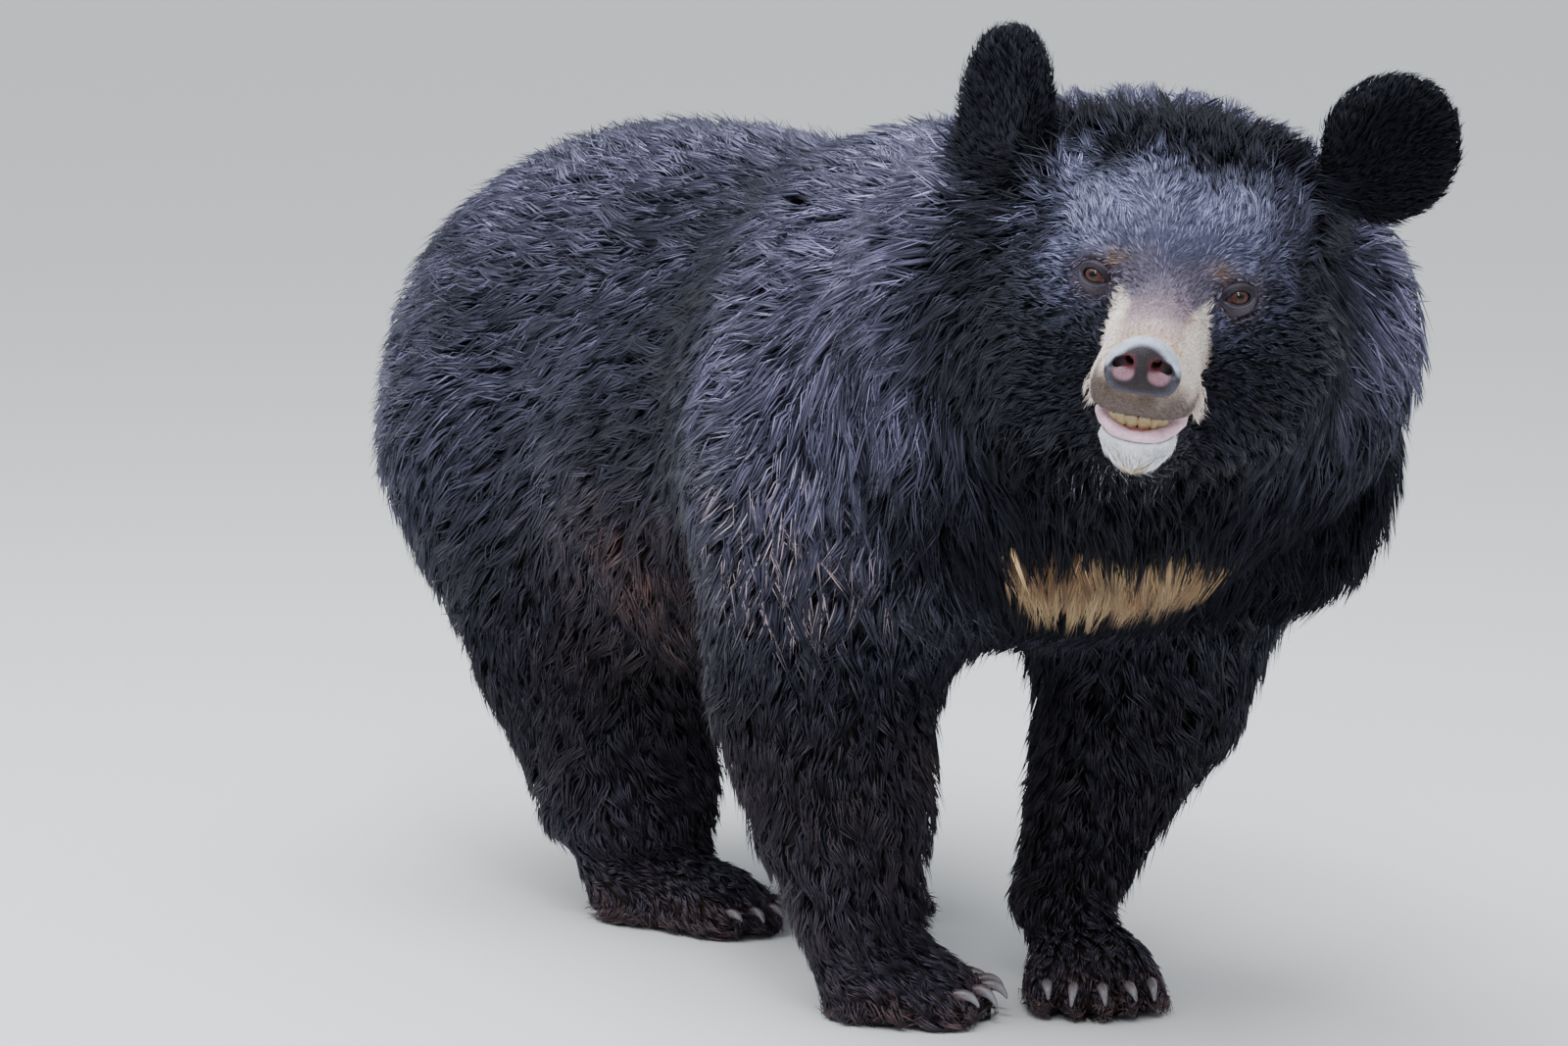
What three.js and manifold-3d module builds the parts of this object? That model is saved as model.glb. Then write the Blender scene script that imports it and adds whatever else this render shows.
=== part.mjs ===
// A standing Asian black bear (moon bear), life size, in millimetres, +Z up, the floor at z = 0.
// The bear faces -Y with its right side at -X, and turns its head to its right.
// Every shape includes the coat: the surfaces are the outline out to the tips of the hair.
//
// The flesh is one smooth field of named masses. Each named part of the body is the surface of
// that field, meshed at its own fineness and trimmed by knives that leave a thin gap.
import * as THREE from 'three';
import Module from 'manifold-3d';
import { mergeVertices } from 'three/addons/utils/BufferGeometryUtils.js';

const wasm = await Module();
wasm.setup();

// ---------------------------------------------------------------- driving dimensions

const GAP = 0.3;                        // clear space between two parts that touch
const REACH = 1600;                     // longer than the animal, for the knives

const BROW = [-106, -418, 621];         // the point midway between the eyes
const HEAD_YAW = -36;                   // degrees, negative turns the face to the bear's right
const HEAD_ROLL = 8;                    // degrees, positive carries the right ear higher
const HEAD_PITCH = -3;                  // degrees, negative lifts the nose
const FACE_DEPTH = 112;                 // from the brow back to where the neck's ruff begins
const MUZZLE_LENGTH = 125;              // from the brow to the nose pad
const MOUTH_HEIGHT = -89;               // the upper lip's edge, below the brow
const MOUTH_GAPE = 7;                   // the open mouth's height at the front
const MUZZLE_ROOT = -34;                // where the muzzle leaves the face

const EYE = { spacing: 102, radius: 11.5, depth: 2 };
const NOSE = { half: [28, 17, 21], middle: [0, -MUZZLE_LENGTH - 4, -49], nostril: 6.5 };
const TEETH = { inner: 10, outer: 14.5, middle: -97, top: MOUTH_HEIGHT - 1.2, height: 8 };
const EAR = { half: [56, 15, 60], cup: 14 };

const ANKLE_HEIGHT = 82;                // where the feet are parted from the legs
const FORE_FOOT = { half: [54, 56, 40], heel: 24, toe: 19, claw: { length: 27, radius: 5.2, hook: 14 } };
const HIND_FOOT = { half: [48, 70, 38], heel: 48, toe: 16, claw: { length: 20, radius: 4.6, hook: 9 } };

const COLOUR = {
  coat: 0x131316, mane: 0x0f0f12, face: 0x191a1f, foot: 0x17130f, muzzle: 0xb79c7c, chin: 0xd9d0c0,
  nose: 0x3b3d44, eye: 0x2a160c, claw: 0x9a948a, tooth: 0xcfb887, ear: 0x0b0b0d,
};

// ---------------------------------------------------------------- vectors, fields and masses

const at = (x, y, z) => new THREE.Vector3(x, y, z);
const turn = (x, y, z) => new THREE.Quaternion().setFromEuler(new THREE.Euler(
  THREE.MathUtils.degToRad(x), THREE.MathUtils.degToRad(y), THREE.MathUtils.degToRad(z), 'ZYX'));

// An oval mass: three half sizes round a middle, turned by a quaternion.
function oval(middle, half, rotation = new THREE.Quaternion()) {
  const back = rotation.clone().invert();
  const local = at(0, 0, 0);
  const [a, b, c] = half;
  return (p) => {
    local.set(p.x - middle[0], p.y - middle[1], p.z - middle[2]).applyQuaternion(back);
    const near = Math.hypot(local.x / a, local.y / b, local.z / c);
    const slope = Math.hypot(local.x / (a * a), local.y / (b * b), local.z / (c * c));
    return slope < 1e-9 ? -Math.min(a, b, c) : near * (near - 1) / slope;
  };
}

// A limb mass: a round bar along several joints [x, y, z, radius].
function limb(...joints) {
  const bones = joints.slice(1).map((joint, i) => ({
    line: new THREE.Line3(at(...joints[i].slice(0, 3)), at(...joint.slice(0, 3))),
    from: joints[i][3],
    to: joint[3],
  }));
  const closest = at(0, 0, 0);
  return (p) => {
    let value = Infinity;
    for (const bone of bones) {
      const share = bone.line.closestPointToPointParameter(p, true);
      bone.line.at(share, closest);
      value = Math.min(value, p.distanceTo(closest) - THREE.MathUtils.lerp(bone.from, bone.to, share));
    }
    return value;
  };
}

// Two values run together over a width: their smooth lower envelope.
function soften(first, second, width) {
  const overlap = Math.max(width - Math.abs(first - second), 0) / width;
  return Math.min(first, second) - overlap * overlap * width / 4;
}

// Several masses run together over a blend width.
const blend = (width, ...fields) => (p) => fields.slice(1).reduce(
  (value, field) => soften(value, field(p), width), fields[0](p));

// Several masses side by side, with no blend.
const beside = (...fields) => (p) => Math.min(...fields.map((field) => field(p)));

// A field seen from a turned and moved frame of its own.
function placed(field, middle, rotation) {
  const back = rotation.clone().invert();
  return (p) => field(p.clone().sub(middle).applyQuaternion(back));
}

// ---------------------------------------------------------------- trunk, neck, legs and tail

const trunk = blend(110,
  oval([-2, 608, 440], [212, 244, 229]),             // rump
  oval([-62, 640, 452], [128, 150, 126]),            // croup
  oval([0, 400, 445], [200, 270, 236]),              // loin and back
  oval([0, 315, 395], [190, 230, 150]),              // belly
  oval([5, 70, 507], [200, 250, 196]),               // chest
  oval([-112, 22, 466], [112, 148, 158]),            // right shoulder
  oval([130, 8, 460], [117, 148, 160]),              // left shoulder
  oval([4, -112, 432], [112, 112, 96]),              // breast
);

const neck = blend(70,
  limb([0, 50, 515, 165], [-30, -230, 560, 160]),
  oval([-6, -212, 562], [226, 116, 187], turn(0, 0, HEAD_YAW * 0.85)),       // ruff
  oval([176, -118, 456], [118, 98, 136]),                                    // ruff over the left shoulder
);

const LEGS = {
  right_fore: limb([-124, 34, 420, 120], [-130, 55, 260, 96], [-130, 25, 170, 78], [-114, 24, 75, 50]),
  left_fore: limb([167, -6, 420, 120], [141, 15, 250, 92], [100, 17, 160, 64], [76, 32, 80, 42]),
  right_hind: limb([-115, 575, 400, 155], [-115, 495, 250, 115], [-97, 470, 125, 84], [-84, 470, 65, 60]),
  left_hind: limb([115, 575, 400, 155], [118, 500, 250, 105], [112, 480, 125, 72], [104, 475, 65, 54]),
};

const tail = limb([0, 808, 480, 38], [0, 862, 404, 22]);

// ---------------------------------------------------------------- the feet

const DIGITS = [-2, -1, 0, 1, 2];

// Where a toe's middle lies in its foot's own frame, which looks along -Y.
function toeMiddle(foot, digit) {
  return [digit * foot.half[0] * 0.38, -foot.half[1] * 0.95 + Math.abs(digit) ** 1.7 * 5.5, foot.toe * 0.85];
}

function footShape(foot) {
  const [width, length, height] = foot.half;
  const toes = DIGITS.map((digit) => oval(toeMiddle(foot, digit), [foot.toe * 0.8, foot.toe * 1.4, foot.toe]));
  return blend(20,
    oval([0, 0, height * 0.6], foot.half),
    oval([0, foot.heel, height * 0.6], [width * 0.8, length * 0.7, height]),
    blend(4, ...toes));
}

const FEET = {
  right_fore: { ...FORE_FOOT, middle: at(-84, 10, 0), turned: 54 },
  left_fore: { ...FORE_FOOT, middle: at(73, -22, 0), turned: -24 },
  right_hind: { ...HIND_FOOT, middle: at(-66, 408, 0), turned: 30 },
  left_hind: { ...HIND_FOOT, middle: at(95, 402, 0), turned: -15 },
};

const limbs = beside(...Object.entries(FEET).map(([name, foot]) => blend(26,
  LEGS[name], placed(footShape(foot), foot.middle, turn(0, 0, foot.turned)))));

// ---------------------------------------------------------------- the head

// The head has its own upright frame at the brow: the face looks along -Y.
const headTurn = turn(HEAD_PITCH, HEAD_ROLL, HEAD_YAW);
const headMiddle = at(...BROW);
const onHead = (x, y, z) => at(x, y, z).applyQuaternion(headTurn).add(headMiddle);

const skull = blend(38,
  oval([0, 100, 40], [106, 116, 86]),                // cranium
  oval([0, 46, 28], [74, 56, 46]),                   // forehead
  oval([0, 66, -46], [94, 61, 78]),                  // face, round the muzzle
  oval([-64, 92, -40], [66, 74, 82]),                // right cheek
  oval([64, 92, -40], [66, 74, 82]),                 // left cheek
  limb([-70, 108, 66, 44], [-112, 126, 84, 24]),     // right ear's root
  limb([70, 108, 66, 44], [102, 126, 72, 24]),       // left ear's root
);
const muzzle = blend(14,
  limb([0, 10, -34, 44], [0, -MUZZLE_LENGTH + 22, -60, 36]),
  oval([-19, -78, -72], [24, 42, 22]),               // right lip
  oval([19, -78, -72], [24, 42, 22]),                // left lip
);
const jaw = limb([0, 30, -100, 38], [0, -80, -106, 25]);

const headShape = blend(24, skull, muzzle, jaw);

const flesh = blend(30,
  blend(45, blend(60, trunk, neck), limbs),
  placed(headShape, headMiddle, headTurn),
  tail);

// ---------------------------------------------------------------- meshing a field

const AXES = [[1, 0, 0], [0, 1, 0], [0, 0, 1]];

// A point drawn onto the surface of a field along its slope, by no more than half a cell.
function onSurface(field, start, cell) {
  const point = start.clone();
  const nudge = 0.5;
  for (let step = 0; step < 2; step += 1) {
    const slope = at(...AXES.map((axis) => {
      const ahead = at(...axis).multiplyScalar(nudge).add(point);
      const behind = at(...axis).multiplyScalar(-nudge).add(point);
      return (field(ahead) - field(behind)) / (2 * nudge);
    }));
    point.addScaledVector(slope, -field(point) / Math.max(slope.lengthSq(), 0.05));
  }
  return point.distanceTo(start) > cell / 2 ? start : point;
}

// The surface of a field within a box of space, as a closed solid: one point in each grid cell
// that the surface crosses, and a face of two triangles across each grid line that it crosses.
function surfaceOf(field, low, high, cell) {
  const [nx, ny, nz] = AXES.map((axis) => Math.ceil(high.clone().sub(low).dot(at(...axis)) / cell) + 3);
  const index = (i, j, k) => i + nx * (j + ny * k);
  const spot = (i, j, k) => at(i - 0.5, j - 0.5, k - 0.5).multiplyScalar(cell).add(low);
  const eachCell = (visit) => {
    for (let n = 0; n < nx * ny * nz; n += 1) visit(n % nx, Math.floor(n / nx) % ny, Math.floor(n / (nx * ny)));
  };
  const value = new Float64Array(nx * ny * nz);
  eachCell((i, j, k) => {
    const rim = i === 0 || j === 0 || k === 0 || i === nx - 1 || j === ny - 1 || k === nz - 1;
    value[index(i, j, k)] = rim ? cell : field(spot(i, j, k));
  });
  const points = [];
  const pointOf = new Map();
  eachCell((i, j, k) => {
    if (i === nx - 1 || j === ny - 1 || k === nz - 1) return;
    const crossings = [];
    AXES.forEach((axis, side) => {
      const [u, v] = AXES.filter((_, other) => other !== side);
      for (const [s, t] of [[0, 0], [1, 0], [0, 1], [1, 1]]) {
        const start = [i, j, k].map((n, d) => n + u[d] * s + v[d] * t);
        const end = start.map((n, d) => n + axis[d]);
        const [first, last] = [value[index(...start)], value[index(...end)]];
        if (first < 0 !== last < 0) crossings.push(spot(...start).lerp(spot(...end), first / (first - last)));
      }
    });
    if (crossings.length === 0) return;
    const middle = crossings.reduce((sum, p) => sum.add(p), at(0, 0, 0)).divideScalar(crossings.length);
    pointOf.set(index(i, j, k), points.length);
    points.push(onSurface(field, middle, cell));
  });
  const triangles = [];
  eachCell((i, j, k) => {
    AXES.forEach(([a, b, c], side) => {
      if (i + a >= nx || j + b >= ny || k + c >= nz) return;
      const first = value[index(i, j, k)];
      if (first < 0 === value[index(i + a, j + b, k + c)] < 0) return;
      const u = AXES[(side + 1) % 3];
      const v = AXES[(side + 2) % 3];
      const ring = [[0, 0], [1, 0], [1, 1], [0, 1]].map(([s, t]) => pointOf.get(
        index(i - u[0] * s - v[0] * t, j - u[1] * s - v[1] * t, k - u[2] * s - v[2] * t)));
      if (first >= 0) ring.reverse();
      const [p, q, r, s] = ring.map((n) => points[n]);
      if (p.distanceTo(r) > q.distanceTo(s)) ring.push(ring.shift());
      triangles.push(ring[0], ring[1], ring[2], ring[0], ring[2], ring[3]);
    });
  });
  return solidFrom(points.flatMap((p) => [p.x, p.y, p.z]), triangles);
}

// ---------------------------------------------------------------- solids and knives

function solidFrom(positions, triangles) {
  const mesh = new wasm.Mesh({
    numProp: 3, vertProperties: new Float32Array(positions), triVerts: new Uint32Array(triangles),
  });
  return new wasm.Manifold(mesh);
}

function solidOf(geometry) {
  geometry.deleteAttribute('normal');
  geometry.deleteAttribute('uv');
  const merged = mergeVertices(geometry, 1e-4);
  return solidFrom(merged.attributes.position.array, merged.index.array);
}

function geometryOf(solid) {
  const mesh = solid.getMesh();
  const geometry = new THREE.BufferGeometry();
  geometry.setAttribute('position', new THREE.BufferAttribute(new Float32Array(mesh.vertProperties), 3));
  geometry.setIndex(new THREE.BufferAttribute(new Uint32Array(mesh.triVerts), 1));
  return geometry;
}

// A knife is made twice: as it is, and grown by the gap for the parts around it.
const knife = (make) => ({ inner: make(0), outer: make(GAP) });

// A box knife: its low and high corners in a turned and moved frame.
function boxKnife(low, high, rotation = new THREE.Quaternion(), middle = at(0, 0, 0)) {
  return knife((grow) => {
    const [width, depth, height] = low.map((value, i) => high[i] - value + 2 * grow);
    const box = new THREE.BoxGeometry(width, depth, height);
    box.translate((low[0] + high[0]) / 2, (low[1] + high[1]) / 2, (low[2] + high[2]) / 2);
    box.applyQuaternion(rotation);
    box.translate(middle.x, middle.y, middle.z);
    return solidOf(box);
  });
}

// A box knife in the head's own frame.
const headBox = (low, high) => boxKnife(low, high, headTurn, headMiddle);

// A knife that takes all the space beyond a plane, on the side that its normal points to.
function planeKnife(point, normal) {
  const rotation = new THREE.Quaternion().setFromUnitVectors(at(0, 0, 1), normal.normalize());
  return boxKnife([-REACH, -REACH, 0], [REACH, REACH, REACH], rotation, point);
}

// A leg's knife: outward of a plane between the legs, and below a slope up over the limb.
function legKnife(side, inner, crotch, rise, front, back) {
  return knife((grow) => {
    const wide = 400;
    const outline = new THREE.Shape([
      [inner - side * grow, -50], [inner - side * grow, crotch + grow],
      [inner + side * wide, crotch + grow + rise * wide], [inner + side * wide, -50],
    ].map(([x, z]) => new THREE.Vector2(x, z)));
    const prism = new THREE.ExtrudeGeometry(outline, { depth: back - front + 2 * grow, bevelEnabled: false });
    prism.rotateX(Math.PI / 2);
    prism.translate(0, back + grow, 0);
    return solidOf(prism);
  });
}

// A foot's knife: a box from below the floor up to the ankle.
const footKnife = (left, right, front, back) => boxKnife([left, front, -50], [right, back, ANKLE_HEIGHT]);

const KNIFE = {
  muzzle: headBox([-70, -220, MOUTH_HEIGHT], [70, MUZZLE_ROOT, 12]),
  jaw: headBox([-70, -220, -220], [70, MUZZLE_ROOT + 6, MOUTH_HEIGHT - GAP]),
  head: planeKnife(onHead(0, FACE_DEPTH, 0), at(0, -1, 0).applyQuaternion(headTurn)),
  neck: planeKnife(at(0, -95, 540), at(0, -0.67, 0.74)),
  tail: boxKnife([-46, 844, 330], [46, 960, 510]),
  trunk: boxKnife([-REACH, -REACH, -10], [REACH, REACH, REACH]),
};

// The open mouth: a wedge under the upper lip, and the floor: nothing reaches below z = 0.
const mouthGap = solidOf(new THREE.ExtrudeGeometry(new THREE.Shape([
  new THREE.Vector2(MUZZLE_ROOT, MOUTH_HEIGHT),
  new THREE.Vector2(-220, MOUTH_HEIGHT + MOUTH_GAPE * 0.3),
  new THREE.Vector2(-220, MOUTH_HEIGHT - MOUTH_GAPE * 1.4),
]), { depth: 160, bevelEnabled: false })
  .rotateX(Math.PI / 2).rotateZ(Math.PI / 2).translate(-80, 0, 0)
  .applyQuaternion(headTurn).translate(...BROW));
const floor = solidOf(new THREE.BoxGeometry(2 * REACH, 2 * REACH, 200).translate(0, 0, -100));

// ---------------------------------------------------------------- the bear

const bear = new THREE.Group();

function addPart(name, colour, solid) {
  const material = new THREE.MeshStandardMaterial({ color: COLOUR[colour], roughness: 0.8, metalness: 0 });
  const mesh = new THREE.Mesh(geometryOf(solid), material);
  mesh.name = name;
  bear.add(mesh);
}

// The small parts. Each is made with room to grow by the gap, which cuts its own socket.

// An egg-shaped solid in the head's frame, turned there by a quaternion.
function egg(middle, half, [around, along], rotation = new THREE.Quaternion()) {
  const ball = new THREE.SphereGeometry(1, around, along).rotateX(Math.PI / 2).scale(...half);
  const place = onHead(...middle);
  ball.applyQuaternion(headTurn.clone().multiply(rotation));
  return solidOf(ball.translate(place.x, place.y, place.z));
}

const swollen = (half, grow) => half.map((size) => size + grow);

const eyeball = (side, grow) => egg(
  [side * EYE.spacing / 2, EYE.depth, 0], swollen([EYE.radius, EYE.radius, EYE.radius], grow), [10, 6]);

// The nose pad, with two nostrils in the pad itself.
function nosePad(grow) {
  const pad = egg(NOSE.middle, swollen(NOSE.half, grow), [10, 8]);
  if (grow > 0) return pad;
  const [x, y, z] = [NOSE.half[0] * 0.45, NOSE.middle[1] - NOSE.half[1] * 0.95, NOSE.middle[2] - 2];
  const dents = [-x, x].map((side) => egg([side, y, z], [NOSE.nostril, NOSE.nostril, NOSE.nostril], [6, 4]));
  return dents.reduce((solid, dent) => solid.subtract(dent), pad);
}

// An ear: a round shell that stands in the head, cupped in front.
function ear({ middle, rotation }, grow) {
  const [width, , height] = EAR.half;
  const shell = egg(middle, swollen(EAR.half, grow), [14, 10], rotation);
  if (grow > 0) return shell;
  const ahead = at(0, -EAR.cup - 3, 2).applyQuaternion(rotation).add(at(...middle));
  return shell.subtract(egg(ahead.toArray(), [width * 0.76, EAR.cup, height * 0.78], [12, 6], rotation));
}

// The lower front teeth, in one arc that stands in the jaw.
function frontTeeth(grow) {
  const arc = new THREE.Shape();
  const [first, last] = [Math.PI * 1.1, Math.PI * 1.9];
  arc.absarc(0, 0, TEETH.outer + grow, first, last, false);
  arc.absarc(0, 0, TEETH.inner - grow, last, first, true);
  const row = new THREE.ExtrudeGeometry(arc, { depth: TEETH.height, bevelEnabled: false, curveSegments: 5 });
  row.translate(0, TEETH.middle, TEETH.top - TEETH.height - grow).applyQuaternion(headTurn);
  return solidOf(row.translate(...BROW));
}

// A claw: a round taper along a bent line, in its foot's own frame, then set in place.
function claw(foot, digit, grow) {
  const { length, radius, hook } = foot.claw;
  const [x, y, z] = toeMiddle(foot, digit);
  const start = at(x * 1.02, y - foot.toe * 0.65 + grow, z + foot.toe * 0.7);
  const fan = digit * length * 0.07;
  const line = new THREE.QuadraticBezierCurve3(start,
    at(start.x + fan / 2, start.y - length * 0.6, start.z + hook * 0.25),
    at(start.x + fan, start.y - length, start.z - hook));
  const [sides, rings] = [6, 3];
  const positions = [];
  const triangles = [];
  for (let ring = 0; ring < rings; ring += 1) {
    const share = ring / rings;
    const middle = line.getPoint(share);
    const facing = new THREE.Quaternion().setFromUnitVectors(at(0, -1, 0), line.getTangent(share));
    for (let side = 0; side < sides; side += 1) {
      const angle = 2 * Math.PI * side / sides;
      const wide = (radius + grow) * (1 - share * 0.55);
      const rim = at(Math.cos(angle) * wide * 0.8, 0, Math.sin(angle) * wide).applyQuaternion(facing).add(middle);
      positions.push(rim.x, rim.y, rim.z);
      const next = (side + 1) % sides;
      const here = ring * sides;
      if (ring < rings - 1) {
        triangles.push(here + side, here + next, here + sides + side);
        triangles.push(here + next, here + sides + next, here + sides + side);
      } else {
        triangles.push(here + side, here + next, rings * sides);
      }
      if (ring === 0 && side > 0 && side < sides - 1) triangles.push(0, next, side);
    }
  }
  positions.push(...line.getPoint(1).toArray());
  const taper = new THREE.BufferGeometry();
  taper.setAttribute('position', new THREE.BufferAttribute(new Float32Array(positions), 3));
  taper.setIndex(triangles);
  taper.applyQuaternion(turn(0, 0, foot.turned)).translate(foot.middle.x, foot.middle.y, foot.middle.z);
  return solidOf(taper);
}

// Each ear leans out from upright and turns to its side.
const EARS = {
  right: { middle: [-146, 128, 110], rotation: turn(0, -22, -48) },
  left: { middle: [138, 128, 117], rotation: turn(0, 38, 22) },
};

const SMALL = [
  ['right_eye', 'eye', (grow) => eyeball(-1, grow)],
  ['left_eye', 'eye', (grow) => eyeball(1, grow)],
  ['nose', 'nose', nosePad],
  ['lower_teeth', 'tooth', frontTeeth],
  ['right_ear', 'ear', (grow) => ear(EARS.right, grow)],
  ['left_ear', 'ear', (grow) => ear(EARS.left, grow)],
];
for (const [name, foot] of Object.entries(FEET)) {
  DIGITS.forEach((digit, n) => {
    SMALL.push([`${name}_claw_${n + 1}`, 'claw', (grow) => claw(foot, digit, grow)]);
  });
}

const FLESH = [
  ['muzzle', 'muzzle', KNIFE.muzzle, [-330, -640, 440], [0, -380, 680], 16],
  ['lower_jaw', 'chin', KNIFE.jaw, [-330, -640, 400], [0, -380, 640], 16],
  ['head', 'face', KNIFE.head, [-400, -620, 380], [200, -180, 860], 26],
  ['right_forefoot', 'foot', footKnife(-200, 0, -150, 120), [-190, -120, -20], [60, 120, 120], 25],
  ['left_forefoot', 'foot', footKnife(0, 200, -150, 160), [-20, -140, -20], [190, 120, 120], 25],
  ['right_hind_foot', 'foot', footKnife(-200, 10, 280, 580), [-190, 290, -20], [60, 580, 120], 26],
  ['left_hind_foot', 'foot', footKnife(10, 220, 280, 580), [-10, 290, -20], [220, 580, 120], 26],
  ['right_foreleg', 'coat', legKnife(-1, 10, 320, 0.6, -170, 190), [-330, -220, 30], [60, 250, 580], 50],
  ['left_foreleg', 'coat', legKnife(1, 10, 320, 0.6, -170, 190), [-60, -220, 30], [340, 250, 580], 50],
  ['right_hind_leg', 'coat', legKnife(-1, 10, 260, 0.9, 320, 740), [-320, 270, 30], [60, 800, 640], 52],
  ['left_hind_leg', 'coat', legKnife(1, 10, 260, 0.9, 320, 740), [-60, 270, 30], [320, 800, 640], 52],
  ['neck', 'mane', KNIFE.neck, [-340, -440, 280], [360, 200, 820], 57],
  ['tail', 'coat', KNIFE.tail, [-80, 780, 330], [80, 920, 560], 30],
  ['trunk', 'coat', KNIFE.trunk, [-360, -320, 100], [360, 980, 800], 70],
];

const taken = [floor, mouthGap];
for (const [name, colour, make] of SMALL) {
  addPart(name, colour, make(0));
  taken.push(make(GAP));
}
for (const [name, colour, part, low, high, cell] of FLESH) {
  const whole = surfaceOf(flesh, at(...low), at(...high), cell).intersect(part.inner);
  addPart(name, colour, taken.reduce((solid, other) => solid.subtract(other), whole));
  taken.push(part.outer);
}

// The origin is under the middle of the animal's own box.
const middle = new THREE.Box3().setFromObject(bear).getCenter(at(0, 0, 0));
bear.position.set(-middle.x, -middle.y, 0);

export default bear;
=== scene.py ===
"""A still, life-size Asian black bear: a skin with eyes, nose, mouth and claws, under a coat of mesh tufts.

Shapes are worked out in the CAD design's own frame, in millimetres, and moved into the row frame
at the end.
"""
import math

import bmesh
import bpy
import numpy as np
import openvdb
from mathutils import Euler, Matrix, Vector


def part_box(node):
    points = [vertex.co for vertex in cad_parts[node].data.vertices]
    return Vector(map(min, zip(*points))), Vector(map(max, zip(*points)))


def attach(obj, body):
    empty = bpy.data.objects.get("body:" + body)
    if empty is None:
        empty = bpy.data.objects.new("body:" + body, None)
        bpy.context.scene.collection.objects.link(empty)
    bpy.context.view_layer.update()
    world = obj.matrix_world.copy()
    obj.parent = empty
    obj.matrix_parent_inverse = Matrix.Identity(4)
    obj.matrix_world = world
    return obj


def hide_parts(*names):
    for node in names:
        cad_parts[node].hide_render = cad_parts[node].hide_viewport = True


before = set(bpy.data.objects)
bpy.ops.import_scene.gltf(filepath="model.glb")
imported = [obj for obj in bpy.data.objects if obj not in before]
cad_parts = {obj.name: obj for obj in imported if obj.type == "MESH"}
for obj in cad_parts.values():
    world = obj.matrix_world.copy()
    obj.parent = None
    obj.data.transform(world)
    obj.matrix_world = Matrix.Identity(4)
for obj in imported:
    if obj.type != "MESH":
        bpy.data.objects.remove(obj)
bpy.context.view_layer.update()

# ---------------------------------------------------------------- driving dimensions, as in the CAD design

def point(x, y, z):
    return np.array([x, y, z], np.float32)


BROW = point(-106, -418, 621)                      # midway between the eyes
EYE_SPACING, EYE_RADIUS, EYE_DEPTH = 102, 11.5, 2
CORNEA = 0.8                                       # how far it stands out of the eyeball
SOCKET_RADIUS, LID_RADIUS, CREASE_RADIUS = 12.0, 13.6, 12.2
NOSE = point(0, -129, -49)                         # the pad's middle, in the head's frame
MOUTH_HEIGHT = -88
EAR_HALF = (56, 15, 60)
EAR_COAT = (6, 3, 5)                               # the coat's depth about an ear
SOLE_GAP = 0.4                                     # the soles' height above the floor
DIGITS = (-2, -1, 0, 1, 2)
FORE_FOOT = dict(half=(54, 56, 40), heel=24, toe=19, length=27, radius=5.2, hook=14)
HIND_FOOT = dict(half=(48, 70, 38), heel=48, toe=16, length=20, radius=4.6, hook=9)
SEED = 11
FAR = 999                                          # past anything on the bear


def rotation(x, y, z):
    """Turns about X, then Y, then Z, in degrees."""
    angles = [math.radians(a) for a in (x, y, z)]
    return np.array(Euler(angles, "XYZ").to_matrix(), np.float32)


HEAD = rotation(-3, 8, -36)
EARS = {
    "right_ear": (point(-146, 128, 110), rotation(0, -22, -48)),
    "left_ear": (point(138, 128, 117), rotation(0, 38, 22)),
}
FEET = {
    "right_fore": (FORE_FOOT, point(-84, 10, 0), 54),
    "left_fore": (FORE_FOOT, point(73, -22, 0), -24),
    "right_hind": (HIND_FOOT, point(-66, 408, 0), 30),
    "left_hind": (HIND_FOOT, point(95, 402, 0), -15),
}


def node_middle(name):
    low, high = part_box(name)
    return (np.array(low) + np.array(high)) / 2 * 1000


eye_line = (node_middle("right_eye") + node_middle("left_eye")) / 2
SHIFT = eye_line - HEAD[:, 1] * EYE_DEPTH - BROW    # from the design's frame to the row's


def to_row(points):
    return (np.asarray(points, np.float64) + SHIFT) * 0.001


def to_head(points):
    return (points - BROW) @ HEAD


def from_head(points):
    return points @ HEAD.T + BROW


# ---------------------------------------------------------------- fields

def unit(v):
    return v / np.maximum(np.sqrt((v * v).sum(-1, keepdims=True)), 1e-9)


def step(low, high, value):
    """0 below low, 1 above high, smooth between; low may be the greater."""
    t = np.clip((value - low) / (high - low), 0, 1)
    return t * t * (3 - 2 * t)


def mix(a, b, share):
    """a where the share is 0 and b where it is 1."""
    return a * (1 - share) + b * share


def mix_rows(a, b, share):
    """The same for colours and directions, each of them one for all points or a row for each."""
    return mix(a, b, share[:, None])


def distance(p, middle):
    return np.sqrt(((p - middle) ** 2).sum(1))


def within(p, low, high):
    """Which points are inside a box."""
    return ((p > low) & (p < high)).all(1)


def oval(middle, half, turned=None):
    """An ellipsoid's field: below 0 inside, and about the distance outside."""
    middle = np.array(middle, np.float32)
    half = np.array(half, np.float32)

    def field(p):
        q = p - middle
        if turned is not None:
            q = q @ turned
        q = q / half
        near = np.sqrt((q * q).sum(1))
        q = q / half
        slope = np.sqrt((q * q).sum(1))
        return near * (near - 1) / np.maximum(slope, 1e-6)
    return field


def limb(*joints):
    """The field of a chain of cones with round ends, by each joint's x, y, z and radius."""
    joints = [np.array(joint, np.float32) for joint in joints]

    def field(p):
        value = None
        for a, b in zip(joints, joints[1:]):
            bone = b[:3] - a[:3]
            share = np.clip(((p - a[:3]) @ bone) / (bone @ bone), 0, 1)
            gap = p - a[:3] - share[:, None] * bone
            near = np.sqrt((gap * gap).sum(1)) - a[3] - share * (b[3] - a[3])
            value = near if value is None else np.minimum(value, near)
        return value
    return field


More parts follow.
